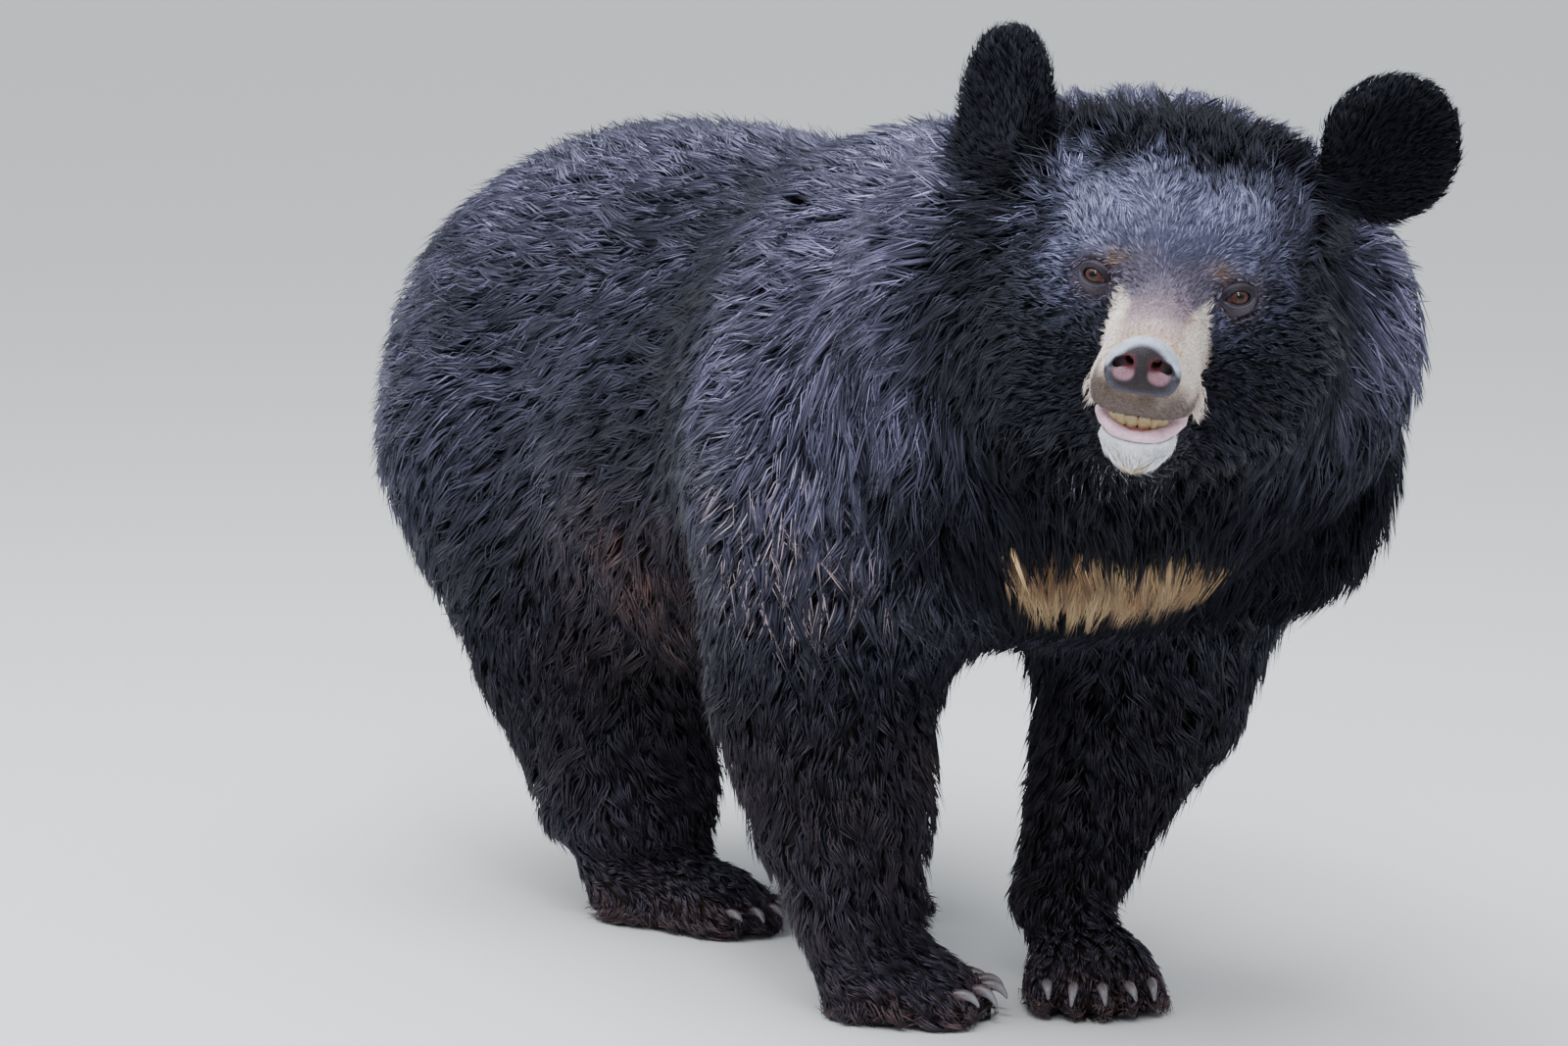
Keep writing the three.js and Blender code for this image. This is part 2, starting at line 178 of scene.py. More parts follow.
def soften(first, second, width):
    """The union of two fields, its seam filled over a width."""
    overlap = np.maximum(width - np.abs(first - second), 0) / width
    return np.minimum(first, second) - overlap * overlap * (width / 4)


def carve(value, tool, width):
    """The value with the tool's inside taken out, its edge rounded over a width."""
    return -soften(-value, tool, width)


def blend(width, *fields):
    """One field from several, each softened into the last over a width."""
    def field(p):
        value = fields[0](p)
        for other in fields[1:]:
            value = soften(value, other(p), width)
        return value
    return field


def near_only(reach, middle, field, far=150.0):
    """The field where it matters: within reach of its middle, and a constant further out."""
    middle = np.array(middle, np.float32)

    def limited(p):
        value = np.full(len(p), far, np.float32)
        inside = ((p - middle) ** 2).sum(1) < reach * reach
        if inside.any():
            value[inside] = np.minimum(field(p[inside]), far)
        return value
    return limited


trunk = blend(110,
    oval([-2, 608, 440], [212, 244, 229]),
    oval([-62, 640, 452], [128, 150, 126]),
    oval([0, 400, 445], [200, 270, 236]),
    oval([0, 315, 395], [190, 230, 150]),
    oval([5, 70, 507], [200, 250, 196]),
    oval([-112, 22, 466], [112, 148, 158]),
    oval([130, 8, 460], [117, 148, 160]),
    oval([4, -112, 432], [112, 112, 96]))
neck = blend(70,
    limb([0, 50, 515, 165], [-30, -230, 560, 160]),
    oval([-6, -212, 562], [226, 116, 187], rotation(0, 0, -30.6)),
    oval([176, -118, 456], [118, 98, 136]))
tail = limb([0, 808, 480, 38], [0, 862, 404, 22])
LEGS = dict(
    right_fore=limb([-124, 34, 420, 120], [-130, 55, 260, 96], [-130, 25, 170, 78], [-114, 24, 75, 50]),
    left_fore=limb([167, -6, 420, 120], [141, 15, 250, 92], [100, 17, 160, 64], [76, 32, 80, 42]),
    right_hind=limb([-115, 575, 400, 155], [-115, 495, 250, 115], [-97, 470, 125, 84], [-84, 470, 65, 60]),
    left_hind=limb([115, 575, 400, 155], [118, 500, 250, 105], [112, 480, 125, 72], [104, 475, 65, 54]))


def toe_middle(foot, digit):
    x, y, _ = foot["half"]
    return np.array([digit * x * 0.38, -y * 0.95 + abs(digit) ** 1.7 * 5.5, foot["toe"] * 0.85], np.float32)


def foot_field(foot):
    """A foot with its toes, in its own frame: toes towards -Y, the floor at 0."""
    width, length, height = foot["half"]
    size = foot["toe"]
    toes = [oval(toe_middle(foot, digit), [size * 0.8, size * 1.4, size]) for digit in DIGITS]
    return blend(20,
        oval([0, 0, height * 0.6], foot["half"]),
        oval([0, foot["heel"], height * 0.6], [width * 0.8, length * 0.7, height]),
        blend(4, *toes))


def placed(field, middle, turned):
    return lambda p: field((p - middle) @ turned)


FOOT_TURN = {name: rotation(0, 0, turned) for name, (_, _, turned) in FEET.items()}
feet = {name: near_only(190, middle + [0, 0, 30], placed(foot_field(foot), middle, FOOT_TURN[name]))
        for name, (foot, middle, _) in FEET.items()}


def limbs(p):
    value = np.full(len(p), 1e3, np.float32)
    for name, leg in LEGS.items():
        value = np.minimum(value, soften(leg(p), feet[name](p), 26))
    return value


# ---------------------------------------------------------------- the coat's depth

NOSE_REACH = (24, 60, 100, 135, 165, 200, 250, 320)   # distances from the nose, for the tables of the head


def head_share(q):
    """1 on the head and 0 past the ruff's beginning."""
    return step(345, 250, distance(q, NOSE)) * step(230, 150, q[:, 1])


def by_nose(q, values):
    """A quantity that changes with the distance from the nose, by its values at NOSE_REACH."""
    return np.interp(distance(q, NOSE), NOSE_REACH, values).astype(np.float32)


def by_body(p, back, ruff, leg, foot):
    """A quantity that changes smoothly over the body: back and flanks, ruff, legs and feet."""
    y, z = p[:, 1], p[:, 2]
    value = mix(back, ruff, step(60, -150, y) * step(330, 420, z))
    value = mix(value, leg, step(380, 250, z))
    return mix(value, foot, step(120, 62, z))


def toe_groove(p):
    """1 in the grooves between the toes."""
    groove = np.zeros(len(p), np.float32)
    low = np.flatnonzero(p[:, 2] < 75)
    for name, (foot, middle, _) in FEET.items():
        f = (p[low] - middle) @ FOOT_TURN[name]
        spread = 1 + 0.004 * (-60 - f[:, 1])
        gaps = [np.abs(f[:, 0] - toe_middle(foot, digit)[0] * spread) for digit in DIGITS]
        first, second = np.sort(gaps, axis=0)[:2]
        toe_line = -foot["half"][1] * 0.95
        ahead = step(toe_line + foot["toe"] * 1.5, toe_line + foot["toe"] * 0.3, f[:, 1])
        near = (np.abs(f) < [80, 100, 100]).all(1)
        groove[low] = np.maximum(groove[low], step(5, 0.5, second - first) * ahead * near)
    return groove


def coat_depth(p, q):
    """How deep the skin lies under the outline."""
    body = by_body(p, 15, 24, 12, 5) + 4.5 * toe_groove(p)
    return mix(body, by_nose(q, (1.2, 1.6, 2.2, 3.0, 5.5, 11, 18, 22)), head_share(q))


# ---------------------------------------------------------------- the head's skin

skull = blend(38,
    oval([0, 100, 40], [106, 116, 86]),
    oval([0, 46, 28], [74, 56, 46]),
    oval([0, 66, -46], [94, 61, 78]),
    oval([-64, 92, -40], [66, 74, 82]),
    oval([64, 92, -40], [66, 74, 82]),
    limb([-70, 108, 66, 44], [-112, 126, 84, 24]),
    limb([70, 108, 66, 44], [102, 126, 72, 24]))
upper_muzzle = blend(14,
    limb([0, 10, -34, 39], [0, -99, -58, 31.5]),
    oval([-18, -80, -70], [20, 38, 21]),
    oval([18, -80, -70], [20, 38, 21]))
lower_jaw = blend(12,
    limb([0, 30, -100, 35], [0, -74, -105, 18]),
    oval([0, -76, -104], [27, 26, 14]),
    oval([0, -85, -113], [11, 14, 11]))
LIP = [(-28.5, -56, -84.5, 4), (-27.5, -74, -89, 5.4), (-24, -88, -93.6, 5.2),
       (-16, -98.5, -98.9, 4.1), (-5, -104.5, -101.2, 3.3)]
LID_SINK, LIP_SINK = 0.7, 1.1     # how far the skin lies under the finer lids and lip
lower_lip = limb(*LIP, *[(-x, y, z, r) for x, y, z, r in reversed(LIP)])
mouth_hole = oval([0, -84, -92.5], [23, 30, 5])
philtrum = limb([0, -136, -66, 1.0], [0, -122, -90, 1.2])


def eye_frame(side):
    """The eye's middle and its axes: along the lids, up, and the way it looks."""
    middle = point(side * EYE_SPACING / 2, EYE_DEPTH, 0)
    gaze = unit(point(side * 0.2, -0.97, 0.06))
    slant = math.radians(16)
    along = unit(point(side * math.cos(slant), 0, math.sin(slant)))
    along = unit(along - gaze * (along @ gaze))
    up = np.cross(along, gaze)
    return middle, along, up * np.sign(up[2]), gaze


EYES = {side: eye_frame(side) for side in (-1, 1)}


def eye_places(q, side):
    """Where points lie in an eye's own axes: outward along the lids, up, and forward."""
    middle, along, up, gaze = EYES[side]
    v = q - middle
    return v @ along, v @ up, v @ gaze


def eye_gap(q):
    """How far points are from the nearer eye's middle."""
    return np.minimum(*(distance(q, middle) for middle, *_ in EYES.values()))


def near_eye_share(q, full, none):
    return step(none, full, eye_gap(q))


def lid_gap(u, v):
    """How far places in an eye's axes are outside the opening between its lids."""
    return (np.hypot(u / 7.4, (v + 0.5) / 4.7) - 1) * 4.7


def lid_ring(u, v):
    """How far places in an eye's axes are from its middle, on rings as wide as the lids."""
    return np.hypot(u / 1.15, v)


def add_lids(value, q):
    """The skin with a brow and two lids about each eye, a crease above them and the eye's socket."""
    for side, (middle, *_) in EYES.items():
        u, v, w = eye_places(q, side)
        ball = distance(q, middle)
        brow = oval(middle + [-3 * side, -2, 17], [19, 10, 9])
        value = soften(value, brow(q), 12)
        value = soften(value, ball - LID_RADIUS, 6)
        corner = np.hypot((u + 7.2) / 3.0, (v + 1.0) / 1.5) - 1
        opening = soften(lid_gap(u, v), corner * 1.5, 2)
        value = carve(value, np.maximum(opening, 3 - w), 1.6)
        crease = np.hypot(lid_ring(u, v) - CREASE_RADIUS, (w - 9.5) * 0.6) - 0.9
        value = carve(value, crease + step(3, -2, v) * 4, 2.4)
        value = carve(value, ball - SOCKET_RADIUS, 0.8)
    return value


def ear_field(middle, turned):
    shell = oval([0, 0, 0], np.subtract(EAR_HALF, EAR_COAT))
    cup = oval([0, -17, 2], [EAR_HALF[0] * 0.76 + 2, 16, EAR_HALF[2] * 0.78 + 2])
    return placed(lambda e: carve(shell(e), cup(e), 5), middle, turned)


ears = [ear_field(*ear) for ear in EARS.values()]


def ear_gap(q):
    """How far points are outside the nearer ear's skin."""
    return np.min([ear(q) for ear in ears], axis=0)


def head_skin(q, depth):
    """The head: its skull under the coat's depth, with muzzle, jaw, lip, lids and ears."""
    above_lip = q[:, 2] - (MOUTH_HEIGHT + 0.003 * q[:, 0] ** 2)
    value = soften(skull(q) + depth, carve(upper_muzzle(q), above_lip, 4), 26)
    value = soften(value, lower_jaw(q), 14)
    value = carve(value, mouth_hole(q), 3)
    value = soften(value, lower_lip(q), 3)
    value = carve(value, philtrum(q), 2)
    value = add_lids(value, q)
    for ear in ears:
        value = soften(value, ear(q), 14)
    return value


def skin(p):
    """The whole skin's field, at points in the design's frame."""
    p = np.asarray(p, np.float32)
    q = to_head(p)
    depth = coat_depth(p, q)
    body = soften(soften(trunk(p), neck(p), 60), limbs(p), 45) + depth
    value = soften(body, tail(p) + 12, 30)
    close = (q * q).sum(1) < 400 ** 2
    if close.any():
        near = q[close]
        sunk = LID_SINK * near_eye_share(near, 12, 16) + LIP_SINK * step(3, 1.5, lower_lip(near))
        head = head_skin(near, depth[close]) + sunk
        value[close] = soften(value[close], head, 60)
    return carve(value, p[:, 2] - SOLE_GAP, 2)


def skin_and_slope(p, nudge=0.6):
    """The skin's field at points, and the way it rises."""
    p = np.asarray(p, np.float32)
    corners = np.array([[1, -1, -1], [-1, 1, -1], [-1, -1, 1], [1, 1, 1]], np.float32)
    values = [skin(p + corner * nudge) for corner in corners]
    slope = sum(value[:, None] * corner for value, corner in zip(values, corners)) / (4 * nudge)
    return sum(values) / 4, slope


def onto_skin(p, height, rounds, cap):
    """Points moved to a height above the skin, by at most a cap in each round."""
    for _ in range(rounds):
        value, slope = skin_and_slope(p)
        size = np.maximum((slope * slope).sum(1), 0.1)
        move = np.clip((height - value) / np.sqrt(size), -cap, cap)
        p = p + unit(slope) * move[:, None]
    return p.astype(np.float32), unit(slope)


# ---------------------------------------------------------------- meshes

def new_mesh(name, points, faces, in_row=False):
    """An object from points in the design's frame and faces that all have the same number of corners."""
    points = np.asarray(points if in_row else to_row(points), np.float32)
    faces = np.asarray(faces, np.int32)
    mesh = bpy.data.meshes.new(name)
    mesh.vertices.add(len(points))
    mesh.vertices.foreach_set("co", points.ravel())
    mesh.loops.add(faces.size)
    mesh.loops.foreach_set("vertex_index", faces.ravel())
    mesh.polygons.add(len(faces))
    mesh.polygons.foreach_set("loop_start", np.arange(len(faces), dtype=np.int32) * faces.shape[1])
    mesh.polygons.foreach_set("use_smooth", np.ones(len(faces), bool))
    mesh.update(calc_edges=True)
    mesh.validate()
    piece = bpy.data.objects.new(name, mesh)
    bpy.context.scene.collection.objects.link(piece)
    return piece


def mesh_arrays(mesh):
    points = np.empty(len(mesh.vertices) * 3, np.float32)
    mesh.vertices.foreach_get("co", points)
    mesh.calc_loop_triangles()
    triangles = np.empty(len(mesh.loop_triangles) * 3, np.int32)
    mesh.loop_triangles.foreach_get("vertices", triangles)
    return points.reshape(-1, 3), triangles.reshape(-1, 3)


def put_colour(mesh, name, colours):
    layer = mesh.color_attributes.new(name=name, type="FLOAT_COLOR", domain="POINT")
    rgba = np.ones((len(colours), 4), np.float32)
    rgba[:, :3] = colours
    layer.data.foreach_set("color", rgba.ravel())


def put_number(mesh, name, values):
    layer = mesh.attributes.new(name=name, type="FLOAT", domain="POINT")
    layer.data.foreach_set("value", np.asarray(values, np.float32))


def finish_piece(piece, slot, material, *nodes):
    """A material, the body to ride on and the CAD nodes that a piece stands for; the slot is not used."""
    piece.data.materials.append(material)
    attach(piece, "root")
    if nodes:
        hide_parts(*nodes)


def surface_mesh(field, low, high, cell):
    """The zero surface of a field within a box, as points and quads."""
    counts = [int((b - a) / cell) + 1 for a, b in zip(low, high)]
    axes = [a + cell * np.arange(n, dtype=np.float32) for a, n in zip(low, counts)]
    values = np.empty(counts, np.float32)
    for i, x in enumerate(axes[0]):
        y, z = np.meshgrid(axes[1], axes[2], indexing="ij")
        points = np.stack([np.full(y.size, x, np.float32), y.ravel(), z.ravel()], 1)
        values[i] = field(points).reshape(y.shape)
    grid = openvdb.FloatGrid(float(np.abs(values).max()))
    grid.copyFromArray(values)
    points, quads = grid.convertToQuads(0.0)
    return points * cell + np.array(low, np.float32), quads


def outward(points, faces):
    """Faces wound so that the closed surface encloses a positive volume."""
    a, b, c = points[faces[:, 0]], points[faces[:, 1]], points[faces[:, 2]]
    return faces if (a * np.cross(b - a, c - a)).sum() > 0 else faces[:, ::-1]


def make_skin():
    """The skin's points and triangles: a coarse mesh, made finer on the face, the ears and the feet."""
    points, quads = surface_mesh(skin, (-300, -600, -12), (330, 900, 840), 8.0)
    quads = outward(points, quads)
    bm = bmesh.new()
    for spot in points:
        bm.verts.new(spot)
    bm.verts.ensure_lookup_table()
    for quad in quads:
        try:
            bm.faces.new([bm.verts[i] for i in quad])
        except ValueError:     # a face that is there already
            pass

    def settle(rounds, cap):
        spots, _ = onto_skin(np.array([v.co for v in bm.verts], np.float32), 0.0, rounds, cap)
        for v, spot in zip(bm.verts, spots):
            v.co = spot

    def refine(chosen):
        middles = np.array([f.calc_center_median() for f in bm.faces], np.float32)
        wanted = chosen(middles, to_head(middles))
        edges = {e for f, yes in zip(bm.faces, wanted) if yes for e in f.edges}
        bmesh.ops.subdivide_edges(bm, edges=list(edges), cuts=1, use_grid_fill=True)

    settle(2, 4)
    refine(lambda p, q: within(q, (-120, -FAR, -175), (120, 60, FAR)) | (p[:, 2] < 70) | (ear_gap(q) < 8))
    settle(2, 2)
    refine(lambda p, q: within(q, (-84, -FAR, -140), (84, 8, 50)))
    settle(2, 1)
    refine(lambda p, q: (eye_gap(q) < 13) | within(q, (-36, -FAR, -110), (36, -48, -78)))
    settle(3, 0.5)
    bmesh.ops.triangulate(bm, faces=bm.faces[:])
    bmesh.ops.recalc_face_normals(bm, faces=bm.faces[:])
    mesh = bpy.data.meshes.new("skin")
    bm.to_mesh(mesh)
    bm.free()
    return mesh_arrays(mesh)


skin_points, skin_triangles = make_skin()

# ---------------------------------------------------------------- markings

BLACK = (0.0045, 0.0045, 0.0062)
# the coat's painted blue-grey sheen, standing for light on black hair
SHEEN_COLOUR = (0.042, 0.040, 0.064)
BROWN = (0.020, 0.011, 0.008)
RUST = (0.042, 0.022, 0.017)
# the forehead's painted blue-grey sheen
FOREHEAD_SHEEN = (0.100, 0.103, 0.168)
STRIPE = (0.80, 0.71, 0.65)
BRIDGE_TOP = (0.16, 0.14, 0.19)
BRIDGE = (0.27, 0.20, 0.235)
BRIDGE_LOW = (0.52, 0.40, 0.39)
TAN = (0.60, 0.44, 0.31)
LIP_BROWN = (0.10, 0.070, 0.060)
CHIN = (0.84, 0.85, 0.90)
CHIN_TUFT = (0.58, 0.48, 0.34)
EYE_PATCH = (0.080, 0.064, 0.082)
BROW_PATCH = (0.155, 0.105, 0.085)
CRESCENT = (0.24, 0.140, 0.075)
CRESCENT_PALE = (0.42, 0.295, 0.165)
PINK = (0.72, 0.46, 0.54)
GUM = (0.28, 0.09, 0.085)
UNDER_LIP = (0.12, 0.095, 0.12)
LID = (0.020, 0.017, 0.024)
LID_PALE = (0.075, 0.072, 0.10)
SOLE = (0.035, 0.028, 0.025)
STRAND = (0.078, 0.060, 0.060)
# pale grey throat hairs, partly a painted highlight
SPIKE = (0.060, 0.058, 0.072)

# The painted sheen along the body; it is least about the crease behind the shoulder, as painted shade
# there.
GLOSS_ALONG = (40, 95, 130, 180, 260, 450, 700)        # places along the body, and the gloss at each
GLOSS = (1.0, 0.20, 0.0, 0.05, 0.30, 0.42, 0.85)
RUSTY_FLANK, RUSTY_REACH = (-180, 270, 330), (70, 110, 70)
PALE_SHOULDER, PALE_REACH = (-228, -34, 398), (70, 62, 58)

crescent_line = limb([-150, -214, 424, 5], [-118, -220, 404, 24], [-86, -226, 390, 44],
                     [-50, -240, 392, 49], [-14, -262, 400, 44], [20, -268, 398, 34],
                     [58, -252, 388, 12])


def ripple(p, scale, seed):
    """A smooth repeatable ripple over space, about -1 to 1, its swells about a scale across."""
    waves = np.random.default_rng(seed)
    value = np.zeros(len(p), np.float32)
    for _ in range(6):
        way = waves.normal(size=3).astype(np.float32)
        value += np.sin(p @ (way * (2.2 / scale)) + waves.uniform(0, 6.28))
    return value / 2.6


def swell(p, middle, reach):
    """1 at a middle, fading smoothly to 0 past its reach along each axis."""
    return np.exp(-(((p - middle) / reach) ** 2).sum(1))


def round_muzzle(q):
    """How far round the muzzle points are, in degrees from its ridge."""
    axis = -36.2 + 0.22 * q[:, 1]
    return np.degrees(np.arctan2(np.abs(q[:, 0]), q[:, 2] - axis))


def on_ruff(q):
    """1 on the ruff, up to the edge where it hangs over the shoulders."""
    return step(142, 112, q[:, 1] + 6 * ripple(q, 40, 12))


def painted_sheen(p, q):
    """Painted sheen: 1 where the coat's colour is lightened to a blue-grey gloss, as on black hair lit from
    above: most on the top of the back, on the back, flanks and shoulders, a little on the lower legs, less
    on the ruff.
    """
    px, py, pz = p.T
    qx, qz = q[:, 0], q[:, 2]
    right_cheek = 0.36 * step(-90, -140, qx) * step(-190, -120, qz)
    left_cheek = 0.55 * step(105, 150, qx) * step(-70, -10, qz)
    along = np.interp(py, GLOSS_ALONG, GLOSS) + 0.4 * step(560, 680, pz)
    # Painted shade: the sheen is less on the body's lower front, and it is left off the chest under the
    # ruff and off the left front.
    front = step(-60, -150, py) * step(540, 470, pz)
    side = mix(along * (1 - 0.85 * front), right_cheek + left_cheek, on_ruff(q))
    body = step(290, 530, pz) * side + 0.16 * step(210, 120, pz)
    shaded_chest = step(-120, -165, py) * step(490, 430, pz)
    shaded_left_front = step(0, 60, px) * step(110, 0, py) * step(600, 500, pz)
    body = body * (1 - 0.9 * np.maximum(shaded_chest, shaded_left_front))
    body = np.clip(body * (0.85 + 0.35 * ripple(p, 70, 3)), 0, 1)
    return body * (1 - head_share(q)) * (1 - on_ear(q))


def muzzle_colour(q, edge):
    """The muzzle's colour: a dark bridge between pale stripes, tan about the nose, a brown lip."""
    x, y, z = np.abs(q[:, 0]), q[:, 1], q[:, 2]
    turn = round_muzzle(q)
    ridge = mix_rows(BLACK, BRIDGE_TOP, step(10, -14, y))
    ridge = mix_rows(ridge, BRIDGE, step(-16, -48, y))
    ridge = mix_rows(ridge, BRIDGE_LOW, step(-56, -92, y))
    stripe = step(35, 46, turn + 0.6 * edge) * step(4, -12, y) * step(12, -2, z + edge)
    colour = mix_rows(ridge, STRIPE, stripe)
    stripe_edge = 0.5 * np.exp(-((turn - 42) / 7) ** 2) * step(-25, -50, y)
    tan = 0.6 * step(38, 27, distance(q, NOSE) + edge) + 0.35 * step(75, 110, turn) + stripe_edge
    colour = mix_rows(colour, TAN, tan)
    lip = step(-54, -74, z + edge) * step(48, 30, x + edge) * step(-70, -96, y)
    return mix_rows(colour, LIP_BROWN, lip * 0.93)


def markings(p, q):
    """The coat's colour at places on the body, with a painted blue-grey sheen on the back, flanks,
    shoulders and forehead, and painted shade in the grooves between the toes.
    """
    edge = 3 * ripple(p, 9, 5) + 4 * ripple(p, 30, 6)
    x, y, z = np.abs(q[:, 0]), q[:, 1], q[:, 2]
    colour = mix_rows(BLACK, SHEEN_COLOUR, painted_sheen(p, q))
    brown = step(330, 200, p[:, 2]) * 0.30
    colour = mix_rows(colour, BROWN, np.clip(brown + 0.35 * ripple(p, 60, 7) * brown, 0, 1))
    rust = 0.8 * swell(p, RUSTY_FLANK, RUSTY_REACH) + 0.8 * step(50, 15, p[:, 2])
    colour = mix_rows(colour, RUST, np.clip(rust * (0.6 + 0.4 * ripple(p, 25, 9)), 0, 1))
    # Painted shade: the coat is darker in the grooves between the toes.
    colour = colour * (1 - 0.7 * toe_groove(p))[:, None]
    on_face = step(300, 230, distance(q, NOSE))
    # Painted sheen: a blue-grey gloss painted on the forehead and temples.
    temple = step(104, 58, x + 2 * edge + 12 * step(0, 40, q[:, 0])) * step(-42, 8, z + 2 * edge)
    colour = mix_rows(colour, FOREHEAD_SHEEN, on_face * temple * step(88, 58, z + edge))
    colour = mix_rows(colour, EYE_PATCH, near_eye_share(q, 13, 27) * step(40, 20, y))
    inner_brow = np.exp(-(((x - 33) / 10) ** 2 + ((z - 14) / 6) ** 2)) * step(30, 10, y)
    colour = mix_rows(colour, BROW_PATCH, np.minimum(inner_brow * 1.2, 1))
    reach = np.interp(-y, (0, 18, 45, 75), (25, 37, 45, 70))
    muzzle = step(8, -12, y + edge * 0.6) * step(reach + 3, reach - 5, x + edge * 0.4)
    muzzle = muzzle * step(24, 6, z + edge) * step(-94, -86, z)
    colour = mix_rows(colour, muzzle_colour(q, edge), muzzle)
    jaw = mix_rows(CHIN, CHIN_TUFT, step(-113, -122, z) * step(20, 9, x))
    chin = step(-88, -93, z) * step(-30, -50, y + edge) * step(48, 38, x)
    colour = mix_rows(colour, jaw, chin)
    warm = np.clip(0.5 + 0.7 * ripple(p, 45, 8), 0, 1)
    crescent = mix_rows(CRESCENT_PALE, CRESCENT, warm)
    return mix_rows(colour, crescent, step(5, -5, crescent_line(p) + edge * 0.8))


def on_sole(p):
    return step(9, 5, p[:, 2])


def bare(p, q):
    """1 where the skin shows and no tuft grows: lids, lips, mouth, nose and soles."""
    lip = step(4.5, 3.0, lower_lip(q)) * (q[:, 1] < -40)
    mouth = step(1.5, 0.5, mouth_hole(q))
    nose = step(3.5, 1.5, oval(NOSE, (28, 17, 21))(q))
    shares = [lip, mouth, nose, on_sole(p)]
    for side in EYES:
        u, v, w = eye_places(q, side)
        shares.append(step(11.4, 9.6, lid_ring(u, v)) * (w > 0))
    return np.max(shares, axis=0)


def skin_colour(p, q):
    """The skin's colour: the coat's, a little darker, and its own where it is bare, with painted shade in
    the creases above the lids.
    """
    colour = markings(p, q) * 0.8
    for side in EYES:
        u, v, w = eye_places(q, side)
        gap, front = lid_gap(u, v), w > 2
        # Dark lid rims, wider on the upper lid, where they also stand for its shade.
        colour = mix_rows(colour, LID, step(4.0, 2.4, gap - 0.7 * step(0, 2, v)) * front)
        lower_edge = step(1.2, 1.8, gap) * step(3.2, 2.4, gap) * step(-1, -3.5, v)
        colour = mix_rows(colour, LID_PALE, lower_edge * front)
        # Painted shade in the crease above each upper lid.
        crease_shade = np.exp(-((lid_ring(u, v) - CREASE_RADIUS) / 1.3) ** 2) * step(0, 4, v)
        colour = mix_rows(colour, LID, crease_shade * front * 0.7)
    colour = mix_rows(colour, GUM, step(1.4, 0.6, mouth_hole(q)))
    lip, front = lower_lip(q), q[:, 1] < -52
    colour = mix_rows(colour, PINK, step(1.4, 0.6, lip) * front)
    under_lip = step(3.2, 2.2, lip) * step(1.0, 1.6, lip) * (q[:, 2] < -96) * front
    colour = mix_rows(colour, UNDER_LIP, under_lip * 0.8)
    return mix_rows(colour, SOLE, on_sole(p))


# ---------------------------------------------------------------- the lie of the coat

def lie(p, q):
    """The way the hair points at places on the body, before it is laid on the skin."""
    py, pz = p[:, 1], p[:, 2]
    qx, qy, qz = q.T
    down = point(0, 0, -1)
    fall = np.interp(py, (-100, 100, 350, 600, 800), (1.35, 1.1, 0.9, 0.7, 0.95))
    fall = fall * (0.3 + 0.7 * step(700, 560, pz))
    back = np.stack([0 * fall, 1 + 0 * fall, -fall], 1)
    leg = np.array([0, 0.18, -1.0])
    way = mix_rows(unit(back), unit(leg), step(430, 290, pz))
    for name, (_, middle, _) in FEET.items():
        forward = -FOOT_TURN[name][:, 1] * 0.9 + down * 0.5
        close = step(150, 110, distance(p, middle)) * step(90, 50, pz)
        way = mix_rows(way, unit(forward), close)
        level = unit((p - middle) * [1, 1, 0])
        way = mix_rows(way, level + down * 0.3, close * step(40, 18, pz) * 0.8)
    radial = q * [1, 0, 1] + [0, 0, 10]
    ruff = unit(radial) * 0.62 + [0, 0.55, 0]
    ruff = ruff @ HEAD.T + down * (0.85 * step(120, -20, qz))[:, None]
    way = mix_rows(way, unit(ruff), step(60, -130, py) * step(330, 400, pz))
    throat = step(-60, -150, qz) * step(40, -120, py) * step(300, 360, pz)
    way = mix_rows(way, unit(down + 0.12 * way), throat)
    from_nose = unit(q - NOSE + [0, 30, 0])
    way = mix_rows(way, from_nose @ HEAD.T, step(270, 190, distance(q, NOSE)))
    to_point = unit(np.stack([-qx, -0.4 * (qy + 84), 0 * qz - 20], 1))
    way = mix_rows(way, to_point @ HEAD.T, on_chin(q))
    sideways = unit(np.stack([np.sign(qx), 0 * qy + 0.45, 0 * qz - 0.7], 1))
    way = mix_rows(way, sideways @ HEAD.T, cheek_tuft(q))
    for middle, turned in EARS.values():
        e = (q - middle) @ turned
        standing = (e + [0, 0, 62]) * [1, 0.3, 1]
        share = step(16, 6, oval([0, 0, 0], EAR_HALF)(e)) * step(-44, -20, e[:, 2])
        way = mix_rows(way, unit(standing) @ turned.T @ HEAD.T, share)
    return unit(way)


def on_tangent(way, normal):
    """Directions laid along the skin."""
    return unit(way - normal * (way * normal).sum(1, keepdims=True))


# ---------------------------------------------------------------- tufts

BLOCK = 14                      # roots are numbered block by block


def sample_roots(chance):
    """Roots spread evenly over the skin, about one for each spacing squared."""
    a, b, c = (skin_points[skin_triangles[:, i]] for i in range(3))
    middle = (a + b + c) / 3
    area = np.linalg.norm(np.cross(b - a, c - a), axis=1) / 2
    block = middle // BLOCK
    order = np.argsort(block[:, 2] * 1e4 + block[:, 1] * 1e2 + block[:, 0], kind="stable")
    total = np.cumsum((area / spacing(middle, to_head(middle)) ** 2)[order])
    count = int(total[-1])
    ticks = (np.arange(count) + chance.uniform(0, 1, count)) * (total[-1] / count)
    face = order[np.minimum(np.searchsorted(total, ticks), len(order) - 1)]
    u, v = np.sqrt(chance.uniform(0, 1, count)), chance.uniform(0, 1, count)
    weights = np.stack([1 - u, u * (1 - v), u * v], 1)[:, :, None]
    roots = (np.stack([a[face], b[face], c[face]], 1) * weights).sum(1)
    return roots.astype(np.float32)


